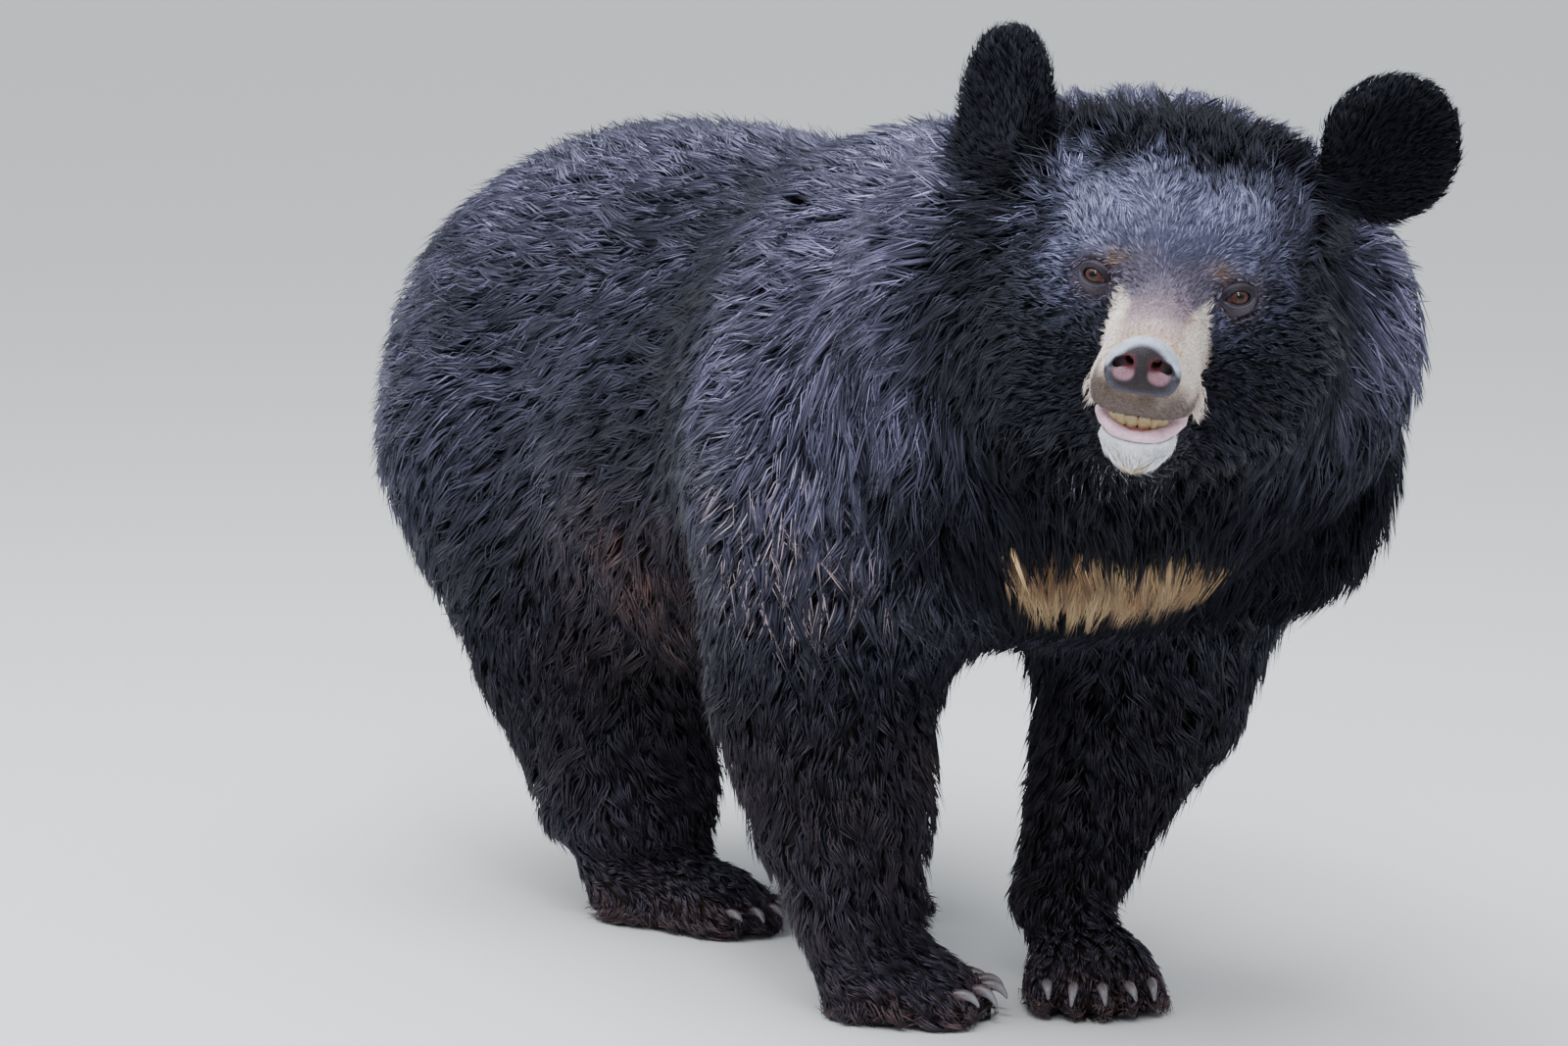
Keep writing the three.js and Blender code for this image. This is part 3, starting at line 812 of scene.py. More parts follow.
def on_ear(q):
    return step(12, 5, ear_gap(q))


def spacing(p, q):
    """How far apart the roots are."""
    body = by_body(p, 3.65, 3.4, 3.3, 2.5)
    head = by_nose(q, (1.5, 1.5, 1.55, 1.75, 2.0, 2.5, 3.0, 3.3))
    value = mix(body, head * (1 - 0.2 * brow_share(q)), head_share(q))
    value = value * (1 - 0.3 * step(8, -4, crescent_line(p)))
    return np.where(ear_gap(q) < 10, 1.8, value).astype(np.float32)


def on_chin(q):
    """1 on the underside of the chin, whose hair runs down to a point."""
    y, z = q[:, 1], q[:, 2]
    return step(-104, -115, z) * step(-35, -55, y) * step(-130, -100, y)


def throat_share(q):
    """1 on the throat behind the chin, where single pale hairs hang."""
    x, y, z = q.T
    across = step(80, 45, np.abs(x))
    return step(-120, -140, z) * step(-190, -165, z) * across * step(90, 50, y)


def brow_share(q):
    """1 on the forehead, where the hair is short and fine."""
    x, y, z = q.T
    across = step(108, 84, np.abs(x))
    return step(-12, 15, z) * step(96, 76, z) * across * step(130, 100, y)


def muzzle_share(q):
    """1 on the muzzle, in front of the eyes."""
    return step(150, 115, distance(q, NOSE)) * step(0, -25, q[:, 1])


def near_foot_edge(p):
    """1 low on the feet, where the hair hangs to the floor."""
    return step(32, 12, p[:, 2])


def coat_length(p, q):
    """How long the hair is."""
    head = by_nose(q, (4, 5, 6.5, 9, 14, 22, 34, 46))
    head = head * (1 + 0.1 * brow_share(q)) * (1 - 0.5 * near_eye_share(q, 16, 28))
    value = mix(by_body(p, 42, 52, 34, 22), head, head_share(q))
    value = value + 8 * near_foot_edge(p) + 12 * cheek_tuft(q)
    value = mix(value, 13, on_ear(q))
    return mix(value, 10 + 7 * step(14, 4, np.abs(q[:, 0])), on_chin(q))


def coat_height(p, q):
    """How far the tips stand above the skin."""
    x, y, z = np.abs(q[:, 0]), q[:, 1], q[:, 2]
    back = step(560, 660, p[:, 2]) * step(-20, 120, p[:, 1]) * step(420, 260, p[:, 1]) * 7
    flat = (1 - 0.5 * brow_share(q)) * (1 - 0.35 * near_eye_share(q, 16, 28)) * (1 - 0.45 * muzzle_share(q))
    rim = np.exp(-((y - 150) / 30) ** 2) * step(-260, -180, z) * step(90, 40, z) * 9
    high = coat_depth(p, q) * flat + back + rim
    high = high + 6 * near_foot_edge(p) + 9 * cheek_tuft(q) + 3 * on_chin(q)
    crown = step(72, 92, z) * step(190, 120, y) * step(-20, 40, y) * step(120, 90, x)
    return mix((high + 7 * crown) * (1 - 0.6 * toe_groove(p)), 5, on_ear(q))


def cheek_tuft(q):
    """1 at the corners of the upper lip, where a pale tuft hangs."""
    folded = np.stack([np.abs(q[:, 0]), q[:, 1], q[:, 2]], 1)
    return step(16, 8, distance(folded, point(35, -64, -72)))


LOCK_SPAN = 3.1                 # a lock's size in tuft spacings
# The glint tufts' colour is lightened into painted highlights.
STRAYS, GLINTS = 0.07, 0.16     # shares of tufts: those that stand out, and fine bright ones on top
ROOT_SUNK = 1.5                 # a root's depth under the skin
HIGHEST_TIP = 27                # above the skin


def lock_of_each(roots, space):
    """The lock each tuft belongs to: a cell of a warped grid whose size follows the spacing."""
    warp = np.stack([ripple(roots, 24, seed) for seed in (21, 22, 23)], 1) * 7
    halves = np.round(np.log2(np.clip(space * LOCK_SPAN, 4, 13)) * 2)
    cells = np.floor((roots + warp) / (2.0 ** (halves / 2))[:, None]).astype(np.int64) + 512
    key = ((cells[:, 0] * 1024 + cells[:, 1]) * 1024 + cells[:, 2]) * 64 + halves.astype(np.int64)
    return np.unique(key, return_inverse=True)[1]


def grow(roots, chance):
    """Each tuft's root, bend and tip, and the numbers that its shape and look follow."""
    q = to_head(roots)
    normal = unit(skin_and_slope(roots)[1])
    keep = bare(roots, q) < chance.uniform(0.15, 0.85, len(roots))
    roots, q, normal = roots[keep], q[keep], normal[keep]
    space = spacing(roots, q)
    lock = lock_of_each(roots, space)
    locks = lock.max() + 1
    lock_size = np.bincount(lock, minlength=locks)

    def lock_mean(values):
        sums = [np.bincount(lock, values[:, i], locks) / lock_size for i in range(values.shape[1])]
        return np.stack(sums, 1)[lock].astype(np.float32)

    lock_chance = chance.uniform(0, 1, (locks, 4)).astype(np.float32)[lock]
    own = chance.uniform(0, 1, (len(roots), 4)).astype(np.float32)
    glint = own[:, 3] > 1 - GLINTS
    stray = own[:, 3] < STRAYS * (1 + 1.8 * step(480, 620, roots[:, 1]) + 2 * on_ear(q))
    length = coat_length(roots, q) * (0.65 + 0.40 * own[:, 0] + 0.30 * lock_chance[:, 0])
    length = length * (1 + throat_share(q) * glint)
    high = coat_height(roots, q)
    height = high * (0.12 + 0.30 * own[:, 1] + 0.90 * lock_chance[:, 1] ** 1.4)
    height = np.where(stray, high * (1.0 + 0.6 * own[:, 1]), height)
    height = np.where(glint, high * (0.5 + 0.6 * lock_chance[:, 1]), height)
    height = np.minimum(height, HIGHEST_TIP)
    calm = (1 - 0.6 * step(60, 20, crescent_line(roots))) * (1 - 0.8 * muzzle_share(q))
    calm = calm * (1 - 0.7 * on_chin(q)) * (1 - 0.6 * throat_share(q)) * (1 - 0.5 * on_ear(q))
    fine = brow_share(q)
    swirl = 0.30 * ripple(roots, 45, 31) + (0.16 + 0.34 * fine) * ripple(roots, 20, 32)
    lock_turn = (0.6 - 0.3 * fine) * (lock_chance[:, 2] - 0.5)
    swirl = (swirl + lock_turn + 0.30 * (own[:, 2] - 0.5)) * calm
    bend = ((own[:, 3] - 0.5) * 0.3 + (lock_chance[:, 3] - 0.5) * (0.9 - 0.4 * fine)) * calm
    here, up, path = roots, normal, []
    for turn, share, lifted in ((swirl - bend, 0.42, 0.60), (swirl + bend, 0.58, 1.0)):
        way = on_tangent(lie(here, to_head(here)), up)
        way = way * np.cos(turn)[:, None] + np.cross(up, way) * np.sin(turn)[:, None]
        here, up = onto_skin(here + way * (length * share)[:, None], height * lifted, 2, 9.0)
        path.append(here)
    pull = np.where(stray, 0.2, np.where(glint, 0.6, 1.0))[:, None]
    for part, (share, floor_gap) in enumerate(((0.22, 1.6), (0.70, 0.8))):
        path[part] = path[part] + (lock_mean(path[part]) - path[part]) * (share * pull)
        path[part][:, 2] = np.maximum(path[part][:, 2], floor_gap)
    width = space * (0.60 + 0.45 * own[:, 0]) * np.where(stray | glint, 0.5, 1)
    width = width * (1 - 0.35 * muzzle_share(q)) * (1 - 0.2 * fine)
    return dict(root=roots, start=roots - normal * ROOT_SUNK, bend=path[0], tip=path[1], normal=normal,
                q=q, width=width, own=own, lock=lock_chance, glint=glint)


RING = [(math.cos(a), math.sin(a)) for a in (math.radians(d) for d in (90, 210, 330))]
LEAF = np.array([(1, 2, 0), (2, 3, 0), (3, 1, 0), (2, 1, 4), (3, 2, 4), (1, 3, 4)], np.int32)
LEAF_ALONG = np.array([0, 0.42, 0.42, 0.42, 1])     # each corner's place from root to tip


def tuft_colour(roots, q, glint):
    """The markings, with pale single hairs on the right shoulder and, on the throat, pale grey hairs that
    are partly painted highlights; both only on the glint tufts.
    """
    shoulder = np.clip(1.3 * swell(roots, PALE_SHOULDER, PALE_REACH), 0, 1)
    colour = mix_rows(markings(roots, q), STRAND, shoulder * glint)
    return mix_rows(colour, SPIKE, throat_share(q) * glint)


def tuft_mesh(name, tufts):
    """One coat piece: a closed leaf, three-sided about its bend, for each tuft."""
    start, bend, tip = tufts["start"], tufts["bend"], tufts["tip"]
    ahead = unit(tip - start)
    side = unit(np.cross(ahead, tufts["normal"]))
    lift = np.cross(side, ahead)
    width = tufts["width"][:, None]
    ring = [bend + (side * (across * 0.5) + lift * (above * 0.32)) * width for across, above in RING]
    verts = np.stack([start, *ring, tip], 1)
    count, each = verts.shape[:2]
    first = np.arange(count, dtype=np.int32) * each
    piece = new_mesh(name, verts.reshape(-1, 3), (LEAF[None] + first[:, None, None]).reshape(-1, 3))
    mesh = piece.data
    # The tone that the shader turns into painted highlight streaks; the glint tufts get the highest.
    tone = 0.35 * tufts["own"][:, 2] + 0.3 * tufts["lock"][:, 1]
    tone = np.where(tufts["glint"], 0.75 + 0.25 * tufts["own"][:, 2], tone)
    colour = tuft_colour(tufts["root"], tufts["q"], tufts["glint"])
    put_number(mesh, "along", np.tile(LEAF_ALONG, count))
    put_number(mesh, "tone", np.repeat(tone, each))
    put_colour(mesh, "tint", np.repeat(colour, each, 0))
    put_bake_map(mesh, tufts["root"], tufts["normal"])
    return piece


def put_bake_map(mesh, roots, normals):
    """The map for baking: six views of the skin in two rows, each tuft a small patch at its root."""
    axis = np.abs(normals).argmax(1)
    row = np.arange(len(axis))
    place = (roots - roots.min(0)) / (roots.max(0) - roots.min(0))
    flat = np.stack([place[row, np.array([1, 0, 0])[axis]], place[row, np.array([2, 2, 1])[axis]]], 1)
    base = (flat * 0.94 + 0.03 + np.stack([axis, normals[row, axis] > 0], 1)) / (3, 2)
    spread = np.linspace(0, 2 * math.pi, len(LEAF_ALONG), endpoint=False)
    patch = np.stack([np.cos(spread), np.sin(spread)], 1) * 0.0015
    spots = base[:, None, :] + patch[LEAF.ravel()][None]
    layer = mesh.uv_layers.new(name="OFBake", do_init=False)
    layer.uv.foreach_set("vector", spots.astype(np.float32).ravel())


# ---------------------------------------------------------------- materials

class Nodes:
    """A material's node tree with short ways to add and join nodes."""

    def __init__(self, name):
        self.material = bpy.data.materials.new(name)
        self.material.use_nodes = True
        self.tree = self.material.node_tree
        self.shader = self.tree.nodes["Principled BSDF"]

    def add(self, kind, values=None, **settings):
        node = self.tree.nodes.new(kind)
        for key, value in settings.items():
            setattr(node, key, value)
        for key, value in (values or {}).items():
            self.put(node.inputs[key], value)
        return node

    def put(self, socket, value):
        """A value, or what another node gives, into a socket."""
        if isinstance(value, bpy.types.NodeSocket):
            self.tree.links.new(value, socket)
        else:
            socket.default_value = value

    def set(self, **values):
        for key, value in values.items():
            self.put(self.shader.inputs[key.replace("_", " ")], value)

    def number(self, name):
        return self.add("ShaderNodeAttribute", attribute_name=name).outputs["Fac"]

    def colour(self, name):
        return self.add("ShaderNodeAttribute", attribute_name=name).outputs["Color"]

    def noise(self, scale, detail=3.0, rough=0.55):
        place = self.add("ShaderNodeTexCoord").outputs["Object"]
        values = {"Vector": place, "Scale": scale, "Detail": detail, "Roughness": rough}
        return self.add("ShaderNodeTexNoise", values).outputs["Fac"]

    def math(self, kind, a, b):
        return self.add("ShaderNodeMath", {0: a, 1: b}, operation=kind).outputs[0]

    def span(self, value, low, high, start=0.0, end=1.0):
        values = {"Value": value, "From Min": start, "From Max": end, "To Min": low, "To Max": high}
        return self.add("ShaderNodeMapRange", values).outputs[0]

    def scaled(self, colour, factor):
        grey = self.add("ShaderNodeCombineColor", {0: factor, 1: factor, 2: factor}).outputs[0]
        return self.mixed(colour, grey, 1.0, "MULTIPLY")

    def mixed(self, a, b, share, kind="MIX"):
        node = self.add("ShaderNodeMix", data_type="RGBA", blend_type=kind)
        for name, value in (("Factor", share), ("A", a), ("B", b)):
            socket = next(s for s in node.inputs if s.name == name and s.enabled)
            self.put(socket, (*value, 1) if isinstance(value, tuple) else value)
        return next(s for s in node.outputs if s.enabled)

    def bump(self, height, strength, distance):
        values = {"Height": height, "Strength": strength, "Distance": distance}
        return self.add("ShaderNodeBump", values).outputs["Normal"]


def coat_material(name, rough, gloss, bright, root_shade=0.12, dull=0.35):
    """Hair with painted shade at each tuft's root and lighter from its middle on, and painted highlight
    streaks from its tone, between a dull and a bright factor of the tint.
    """
    n = Nodes(name)
    tone = n.number("tone")
    rise = n.span(n.number("along"), root_shade, 1.25, 0, 0.6)
    streak = n.span(n.math("POWER", tone, 2.2), dull, bright, 0, 0.9)
    patches = n.span(n.noise(22), 0.75, 1.3, 0.3, 0.7)
    shade = n.math("MULTIPLY", n.math("MULTIPLY", rise, streak), patches)
    n.set(Base_Color=n.scaled(n.colour("tint"), shade))
    n.set(Roughness=n.span(tone, rough + 0.12, rough - 0.06))
    n.set(Specular_IOR_Level=gloss, Specular_Tint=(0.68, 0.71, 1.0, 1))
    return n.material


def skin_material(name, gloss):
    n = Nodes(name)
    fine = n.noise(420, 4, 0.6)
    patches = n.span(n.math("MULTIPLY", fine, n.noise(45)), 0.7, 1.3, 0.1, 0.4)
    n.set(Base_Color=n.scaled(n.colour("tint"), patches))
    n.set(Roughness=n.span(fine, 0.42, 0.62, 0.3, 0.7), Specular_IOR_Level=gloss)
    n.set(Normal=n.bump(fine, 0.5, 0.0012))
    return n.material


# ---------------------------------------------------------------- making the pieces

FLESH = ("muzzle", "lower_jaw", "head", "right_ear", "left_ear", "neck", "trunk", "tail",
         "right_forefoot", "left_forefoot", "right_hind_foot", "left_hind_foot",
         "right_foreleg", "left_foreleg", "right_hind_leg", "left_hind_leg")

hide = new_mesh("skin", skin_points, skin_triangles)
put_colour(hide.data, "tint", skin_colour(skin_points, to_head(skin_points)))
finish_piece(hide, "coat", skin_material("skin", 0.10), *FLESH)


FIRST_PIECE = dict(rump=0, loin=2, flank=4, shoulder=6, leg=8, foot=12, ruff=16, cheek=20, forehead=22,
                   muzzle=23, ear=24, crescent=25, crown=26, throat=27)
BORDER = 14           # how ragged the borders between the coat's pieces are
FACE_REACH = 235      # from the nose


def body_part(tufts, chance):
    """The number of each tuft's coat piece, by where its root is."""
    root, head_root = tufts["root"], tufts["q"]
    ragged = chance.normal(0, BORDER, (len(root), 1)).astype(np.float32)
    p, q = root + ragged, head_root + ragged * 0.5
    y, z = p[:, 1], p[:, 2]
    to_nose, across = distance(q, NOSE), np.abs(q[:, 0])
    right, head_right = p[:, 0] < 0, q[:, 0] < 0
    quarter = 2 * (y > 250) + right
    face = (to_nose < FACE_REACH) & (q[:, 1] < 120)
    crown = (head_root[:, 2] > 80 + 0.2 * ragged[:, 0]) & (q[:, 1] < 150) & (across < 125)
    throat = within(q, (-165, -FAR, -FAR), (165, 170, -118)) | ((y < -115) & (z < 485))
    rules = (
        ("ear", ear_gap(head_root) < 8, 0),
        ("crescent", crescent_line(root) < 0, 0),
        ("crown", crown, 0),
        ("muzzle", (to_nose < 135) & (head_root[:, 1] < -8), 0),
        ("throat", throat & (z > 300), 0),
        ("forehead", face & within(q, (-108, -FAR, -46), (108, FAR, 84)), 0),
        ("cheek", face, head_right),
        ("ruff", (q[:, 1] < 180) & (z > 300), head_right + 2 * (q[:, 2] > 20)),
        ("foot", z < 105, quarter),
        ("leg", root[:, 2] + 2.2 * ragged[:, 0] < 300, quarter),
        ("rump", y > 560, right),
        ("loin", y > 330, right),
        ("flank", y > 60, right),
        ("shoulder", y <= 60, right))
    return np.select([here for _, here, _ in rules], [FIRST_PIECE[name] + more for name, _, more in rules])


# ---------------------------------------------------------------- eyes, nose, mouth and claws

def head_piece(name, field, low, high, cell, colour=None):
    """A piece from a field in the head's frame, within a box, with a function for its colour."""
    points, quads = surface_mesh(field, low, high, cell)
    piece = new_mesh(name, from_head(points), outward(points, quads))
    if colour:
        put_colour(piece.data, "tint", colour(points))
    return piece


def skin_piece(name, keep, width, low, high, cell):
    """A finer piece of the skin: what lies where a field is below 0, its edge rounded over a width."""
    def field(q):
        return carve(head_skin(q, coat_depth(from_head(q), q)), -keep(q), width)
    return head_piece(name, field, low, high, cell, lambda q: skin_colour(from_head(q), q))


def make_lids(side, name):
    middle = EYES[side][0]
    return skin_piece(name, lambda q: distance(q, middle) - 15.5, 1.5, middle - 18, middle + 18, 0.55)


def make_lip():
    low, high = (-38, -113, -108), (38, -48, -76)
    return skin_piece("lower_lip", lambda q: lower_lip(q) - 2.2, 1.2, low, high, 0.6)


def tube_faces(rings, sides):
    """Faces of a tube of rings, closed on a point before the first ring and one after the last."""
    faces = []
    last = (rings - 1) * sides
    for j in range(sides):
        k = (j + 1) % sides
        faces += [(rings * sides, k, j), (rings * sides + 1, last + j, last + k)]
        for a in range(0, last, sides):
            faces += [(a + j, a + k, a + sides + k), (a + j, a + sides + k, a + sides + j)]
    return np.array(faces)


def make_eye(side, node):
    """An eyeball with its cornea standing a little proud, its pole on the way it looks."""
    middle, along, up, gaze = EYES[side]
    rings, spokes = 40, 64
    angle = math.pi * (np.arange(1, rings) / rings) ** 1.25
    radius = EYE_RADIUS + CORNEA * np.clip(1 - (angle / 0.64) ** 2, 0, 1) ** 2
    turn = 2 * math.pi * np.arange(spokes)[:, None] / spokes
    spoke = np.cos(turn) * along + np.sin(turn) * up
    spots = np.cos(angle)[:, None, None] * gaze + np.sin(angle)[:, None, None] * spoke
    spots = (spots * radius[:, None, None]).reshape(-1, 3)
    spots = np.vstack([spots, gaze * (EYE_RADIUS + CORNEA), -gaze * EYE_RADIUS]) + middle
    piece = new_mesh(node, from_head(spots), outward(spots, tube_faces(len(angle), spokes)))
    around = np.append(np.repeat(angle * EYE_RADIUS, spokes), [0, math.pi * EYE_RADIUS])
    put_number(piece.data, "from_pupil", around)
    put_number(piece.data, "outer", (spots - middle) @ along)
    return piece


def eye_material():
    n = Nodes("eye")
    out = n.number("from_pupil")
    fibres = n.noise(900, 2, 0.5)
    ramp = n.add("ShaderNodeValToRGB", {"Fac": n.span(out, 0, 1, 0, 12)})
    stops = [(0.0, (0.002, 0.001, 0.001)), (0.15, (0.004, 0.002, 0.002)), (0.23, (0.030, 0.013, 0.010)),
             (0.40, (0.064, 0.027, 0.021)), (0.55, (0.034, 0.015, 0.012)), (0.63, (0.005, 0.003, 0.003)),
             (0.74, (0.014, 0.009, 0.010)), (1.0, (0.030, 0.020, 0.022))]
    for place, _ in stops[1:-1]:
        ramp.color_ramp.elements.new(place)
    for element, (place, colour) in zip(ramp.color_ramp.elements, stops):
        element.position = place
        element.color = (*colour, 1)
    inner = n.span(n.number("outer"), 1.0, 0.0, -7.5, -5.5)
    colour = n.scaled(ramp.outputs["Color"], n.span(fibres, 0.6, 1.5, 0.3, 0.7))
    n.set(Base_Color=n.mixed(colour, (0.075, 0.034, 0.038), inner))
    n.set(Roughness=0.3, Specular_IOR_Level=0.0, Coat_Weight=0.6, Coat_Roughness=0.02)
    return n.material


NOSTRILS = [dict(
    rim=limb([x * 10.5, -141, -47.5, 3.6], [x * 17, -139.5, -50, 2.8], [x * 23.0, -134, -57, 1.8]),
    deep=limb([x * 9.6, -147, -49, 3.4], [x * 8.5, -126, -44, 3.0]),
    floor=oval([x * 14.2, -146, -55], [8.4, 5.0, 7.8])) for x in (-1, 1)]
nose_body = blend(9,
    oval([0, -127.5, -50.5], [24.5, 16, 20.5]),
    oval([-15.5, -131, -57], [10.5, 11, 12.0]),
    oval([15.5, -131, -57], [10.5, 11, 12.0]),
    oval([0, -134, -49], [14, 12.5, 15]))
nose_groove = limb([0, -148.5, -57, 0.8], [0, -142, -73, 1.3])


def nose_field(q):
    value = nose_body(q)
    for nostril in NOSTRILS:
        value = carve(value, nostril["floor"](q), 2.5)
        value = carve(value, nostril["rim"](q), 2.0)
        value = carve(value, nostril["deep"](q), 1.5)
    return carve(value, nose_groove(q), 2.5)


# the nose's top is a painted highlight of wet leather, pale blue-grey
NOSE_TOP_HIGHLIGHT = (0.46, 0.50, 0.62)
NOSE_FRONT = (0.028, 0.022, 0.026)
NOSE_RIM = (0.065, 0.065, 0.085)
NOSTRIL_PINK = (0.31, 0.17, 0.205)
NOSTRIL_DEEP = (0.09, 0.024, 0.032)


def nose_colour(q):
    """A painted highlight on top, dark in front and about the nostrils, pink on their floors."""
    x, y, z = np.abs(q[:, 0]), q[:, 1], q[:, 2]
    colour = mix_rows(NOSE_RIM, NOSE_TOP_HIGHLIGHT, step(-58, -48, z))
    front = step(-133, -140, y + 0.010 * x ** 2 + 0.45 * np.maximum(z + 46, 0))
    rims = [step(2.6, 1.4, nostril["rim"](q)) for nostril in NOSTRILS]
    colour = mix_rows(colour, NOSE_FRONT, np.max([front, *rims], axis=0))
    for nostril in NOSTRILS:
        colour = mix_rows(colour, NOSTRIL_PINK, step(2.2, -0.6, nostril["floor"](q)) * step(-45, -55, z))
        colour = mix_rows(colour, NOSTRIL_DEEP, step(4.0, 0.3, nostril["deep"](q)))
    return colour


def nose_material():
    n = Nodes("nose_leather")
    place = n.add("ShaderNodeTexCoord").outputs["Object"]
    cells = n.add("ShaderNodeTexVoronoi", {"Vector": place, "Scale": 620}, feature="DISTANCE_TO_EDGE")
    pebble = n.span(cells.outputs[0], 0, 1, 0.0, 0.35)
    # Painted shade: the leather is darker in the grooves between its pebbles.
    patches = n.math("MULTIPLY", n.span(pebble, 0.72, 1.05), n.span(n.noise(160), 0.8, 1.2, 0.3, 0.7))
    n.set(Base_Color=n.scaled(n.colour("tint"), patches))
    n.set(Roughness=n.span(pebble, 0.60, 0.42), Specular_IOR_Level=0.16)
    n.set(Normal=n.bump(pebble, 0.5, 0.0005))
    return n.material


TEETH_ARC = (20.5, 12.5, -86.5)     # half width, depth and middle of the arc of front teeth
ARC_ANGLE = math.radians(78)


def on_arc(share):
    """A place on the teeth's arc, from -1 at the right end to 1 at the left."""
    half, deep, middle = TEETH_ARC
    angle = share * ARC_ANGLE
    return np.array([half * math.sin(angle) / math.sin(ARC_ANGLE), middle - deep * math.cos(angle)])


def front_teeth():
    """Six front teeth and a canine at each side of them."""
    teeth = []
    for share in (-0.80, -0.48, -0.16, 0.16, 0.48, 0.80):
        x, y = on_arc(share)
        teeth.append(oval([x, y, -91.6], [4.6, 2.2, 7.2], rotation(8, 0, math.degrees(share * 1.2))))
    for share in (-1.12, 1.12):
        x, y = on_arc(share)
        teeth.append(limb([x, y + 1, -97, 3.4], [x, y, -91, 2.6], [x * 1.03, y - 0.5, -85.5, 0.9]))
    return blend(0.8, *teeth)


gum_field = limb(*[(*on_arc(share), -98.8, 3.0) for share in (-1.2, -0.8, -0.4, 0, 0.4, 0.8, 1.2)])


def tooth_material():
    n = Nodes("tooth_enamel")
    place = n.add("ShaderNodeTexCoord").outputs["Generated"]
    low = n.span(n.add("ShaderNodeSeparateXYZ", {0: place}).outputs[2], 1.0, 0.0, 0.35, 0.85)
    stain = n.math("MULTIPLY", low, n.span(n.noise(350), 0.5, 1.2, 0.3, 0.7))
    n.set(Base_Color=n.mixed((0.62, 0.50, 0.27), (0.28, 0.16, 0.06), stain))
    n.set(Roughness=0.28, Normal=n.bump(n.noise(700), 0.2, 0.0004))
    return n.material


def gum_material():
    n = Nodes("gum")
    n.set(Base_Color=n.mixed((0.42, 0.16, 0.15), (0.24, 0.07, 0.07), n.noise(260)))
    n.set(Roughness=0.25, Normal=n.bump(n.noise(500), 0.3, 0.0005))
    return n.material


CLAW_DRIFT = (0.09, -0.12, 0.04, 0.16, -0.08)     # each claw's own lean, in its lengths
CLAW_RINGS, CLAW_SIDES = 16, 16


def claw_shape(foot, digit):
    """A claw's points in its foot's own frame, and each point's place along it and about it."""
    x, y, z = toe_middle(foot, digit)
    length, radius, hook = foot["length"], foot["radius"], foot["hook"]
    start = np.array([x * 1.02, y - foot["toe"] * 0.62, z + foot["toe"] * 0.55])
    fan = digit * length * 0.05 + CLAW_DRIFT[digit + 2] * length
    bend = start + [fan / 2, -length * 0.50, hook * 0.40]
    tip = start + [fan, -length * 0.74, -hook * (0.66 + CLAW_DRIFT[2 - digit])]
    share = (np.arange(CLAW_RINGS) / CLAW_RINGS)[:, None]
    line = start * (1 - share) ** 2 + bend * 2 * share * (1 - share) + tip * share ** 2
    ahead = unit((bend - start) * (1 - share) + (tip - bend) * share)
    across = unit(np.cross(ahead, [0, 0, 1]))
    above = np.cross(across, ahead)
    turn = 2 * math.pi * np.arange(CLAW_SIDES) / CLAW_SIDES
    ridge = 1 + 0.10 * np.cos(turn * 2) + 0.06 * np.sin(turn)
    wide = (radius * (1.06 - share ** 2 * 0.88))[:, :, None]
    spots = (line[:, None] + across[:, None] * (np.cos(turn) * ridge)[None, :, None] * (wide * 0.72)
             + above[:, None] * (np.sin(turn) * ridge)[None, :, None] * (wide * 1.02))
    along = np.append(np.repeat(share[:, 0], CLAW_SIDES), [0, 1])
    crest = np.append(np.tile(np.sin(turn), CLAW_RINGS), [0, 1])
    return np.vstack([spots.reshape(-1, 3), start, tip]), along, crest


def make_claws(name):
    foot, middle, _ = FEET[name]
    spots, along, crest = (np.concatenate(rows) for rows in zip(*(claw_shape(foot, d) for d in DIGITS)))
    each = len(spots) // len(DIGITS)
    faces = np.vstack([tube_faces(CLAW_RINGS, CLAW_SIDES) + each * i for i in range(len(DIGITS))])
    spots = spots @ FOOT_TURN[name].T + middle
    piece = new_mesh(f"{name}_claws", spots, outward(spots, faces))
    put_number(piece.data, "along", along)
    put_number(piece.data, "crest", crest)
    return piece


def claw_material():
    n = Nodes("claw_horn")
    along, crest = n.number("along"), n.number("crest")
    streak = n.noise(260, 4, 0.65)
    age = n.span(n.math("ADD", along, n.math("MULTIPLY", streak, 0.6)), 0, 1, 0.35, 0.95)
    horn = n.mixed((0.075, 0.046, 0.044), (0.20, 0.19, 0.21), age)
    stain = n.span(n.math("MULTIPLY", crest, streak), 0, 0.85, 0.25, 0.6)
    n.set(Base_Color=n.mixed(horn, (0.07, 0.05, 0.05), stain))
    n.set(Roughness=n.span(streak, 0.28, 0.5, 0.3, 0.7), Normal=n.bump(streak, 0.35, 0.0006))
    return n.material


eye_look = eye_material()
lid_look = skin_material("lid_skin", 0.14)
for side, node in ((-1, "right_eye"), (1, "left_eye")):
    finish_piece(make_eye(side, f"{node}ball"), "eye", eye_look, node)
    finish_piece(make_lids(side, f"{node}lids"), "face_coat", lid_look)
finish_piece(make_lip(), "nose_skin", skin_material("lip_skin", 0.22))
nose = head_piece("nose_pad", nose_field, (-32, -154, -80), (32, -106, -26), 0.9, nose_colour)
finish_piece(nose, "nose_skin", nose_material(), "nose")
teeth = head_piece("front_teeth", front_teeth(), (-24, -110, -106), (24, -72, -82), 0.5)
finish_piece(teeth, "tooth", tooth_material(), "lower_teeth")
gum = head_piece("gum", gum_field, (-26, -112, -106), (26, -72, -88), 0.7)
finish_piece(gum, "nose_skin", gum_material())
horn = claw_material()
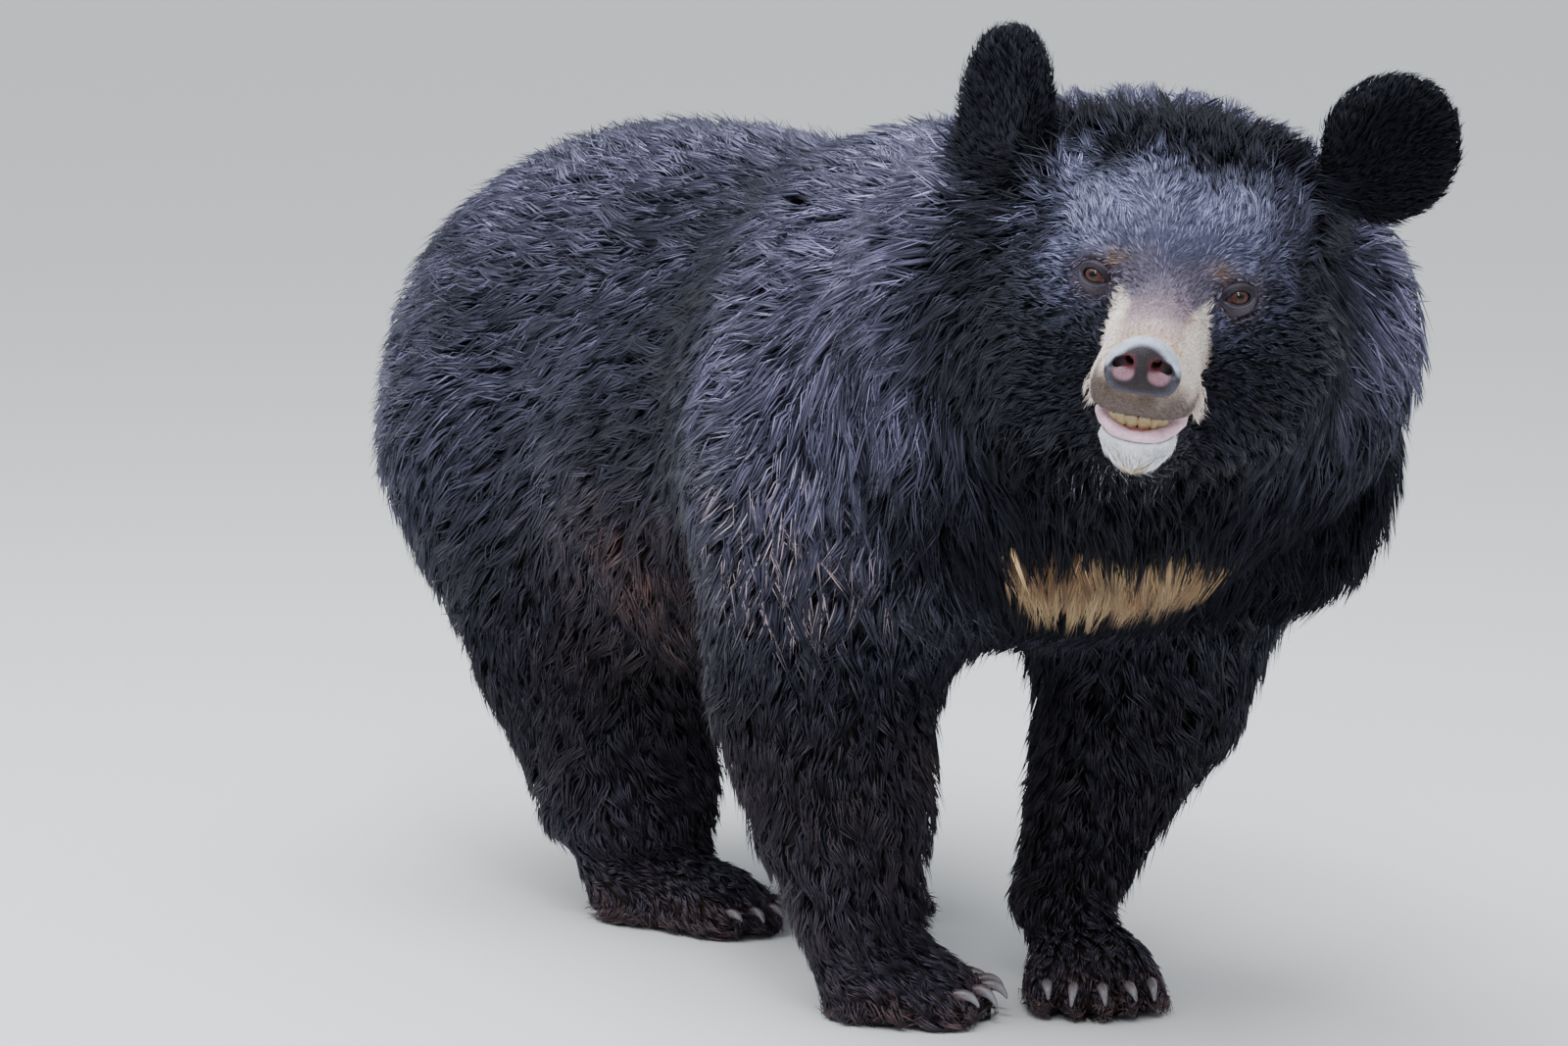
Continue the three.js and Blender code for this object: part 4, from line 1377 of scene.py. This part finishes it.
for name in FEET:
    nodes = [f"{name}_claw_{n}" for n in range(1, 6)]
    finish_piece(make_claws(name), "claw", horn, *nodes)

# ---------------------------------------------------------------- the coat

chance = np.random.default_rng(SEED)
tufts = grow(sample_roots(chance), chance)
parts = body_part(tufts, chance)
GLOSSY = coat_material("back_hair", 0.42, 0.60, 10.0)
COATS = dict(
    rump=("coat", GLOSSY),
    loin=("coat", GLOSSY),
    flank=("coat", coat_material("flank_hair", 0.42, 0.44, 7.5)),
    shoulder=("coat", GLOSSY),
    leg=("coat", coat_material("leg_hair", 0.42, 0.42, 6.0)),
    foot=("foot_coat", coat_material("foot_hair", 0.40, 0.6, 6.5)),
    ruff=("ruff_coat", coat_material("ruff_hair", 0.44, 0.30, 10.0)),
    cheek=("face_coat", coat_material("cheek_hair", 0.46, 0.38, 9.0)),
    forehead=("face_coat", coat_material("forehead_hair", 0.42, 0.62, 4.1, 0.26)),
    muzzle=("muzzle_coat", coat_material("muzzle_hair", 0.55, 0.30, 1.15, 0.88, 0.72)),
    ear=("ear_coat", coat_material("ear_plush", 0.58, 0.20, 2.6)),
    crescent=("ruff_coat", coat_material("crescent_hair", 0.55, 0.25, 1.4, 0.70, 0.7)),
    crown=("face_coat", coat_material("crown_hair", 0.55, 0.14, 5.0)),
    throat=("ruff_coat", coat_material("throat_hair", 0.52, 0.13, 6.0)))
for number in np.unique(parts):
    region = [name for name, first in FIRST_PIECE.items() if first <= number][-1]
    chosen = np.flatnonzero(parts == number)
    piece = tuft_mesh(f"coat_{number:02d}", {key: values[chosen] for key, values in tufts.items()})
    finish_piece(piece, *COATS[region])

# ---------------------------------------------------------------- floor, lights and camera

FLOOR_RADIUS, FLOOR_SIDES = 90.0, 96     # metres; the floor reaches past every view
turns = np.linspace(0, 2 * math.pi, FLOOR_SIDES, endpoint=False)
rim = [(FLOOR_RADIUS * math.cos(a), FLOOR_RADIUS * math.sin(a), 0) for a in turns]
wedges = [(0, i + 1, (i + 1) % FLOOR_SIDES + 1) for i in range(FLOOR_SIDES)]
floor_mesh = new_mesh("floor", [(0, 0, 0), *rim], wedges, in_row=True)
floor_nodes = Nodes("pale_floor")
floor_nodes.set(Base_Color=(0.74, 0.74, 0.73, 1), Roughness=0.75, Specular_IOR_Level=0.2)
floor_mesh.data.materials.append(floor_nodes.material)


def soft_light(name, place, aim, size, power, colour):
    light = bpy.data.lights.new(name, "AREA")
    light.shape = "RECTANGLE"
    light.size, light.size_y = size
    light.energy = power
    light.color = colour
    lamp = bpy.data.objects.new(name, light)
    lamp.location = place
    lamp.rotation_euler = (Vector(aim) - Vector(place)).to_track_quat("-Z", "Y").to_euler()
    bpy.context.scene.collection.objects.link(lamp)


soft_light("overhead", (-0.9, 0.1, 3.4), (0, 0.1, 0.4), (3.2, 3.2), 190, (0.93, 0.96, 1))
soft_light("front", (-2.0, -3.1, 4.3), (-0.1, -0.4, 0.5), (1.0, 0.8), 88, (0.97, 0.98, 1))
soft_light("catchlight", (-1.9, -3.4, 2.5), (-0.12, -0.58, 0.62), (1.0, 0.4), 38, (0.97, 0.98, 1))

world = bpy.data.worlds.new("studio_dome")
world.use_nodes = True
dome = world.node_tree
way_up = dome.nodes.new("ShaderNodeSeparateXYZ")
dome.links.new(dome.nodes.new("ShaderNodeTexCoord").outputs["Generated"], way_up.inputs[0])
rise = dome.nodes.new("ShaderNodeMapRange")
rise.interpolation_type = "SMOOTHSTEP"
for socket, value in (("From Min", 0.0), ("From Max", 0.85), ("To Min", 0.42), ("To Max", 1.30)):
    rise.inputs[socket].default_value = value
dome.links.new(way_up.outputs[2], rise.inputs["Value"])
dome.nodes["Background"].inputs["Color"].default_value = (0.88, 0.93, 1.0, 1)
dome.links.new(rise.outputs[0], dome.nodes["Background"].inputs["Strength"])
bpy.context.scene.world = world

lens = bpy.data.cameras.new("camera")
lens.lens = 135
lens.sensor_width = 36
camera = bpy.data.objects.new("camera", lens)
camera.location = (-2.332, -4.164, 1.02)
camera.rotation_euler = (math.radians(82.27), 0, math.radians(-28))
bpy.context.scene.collection.objects.link(camera)
bpy.context.scene.camera = camera
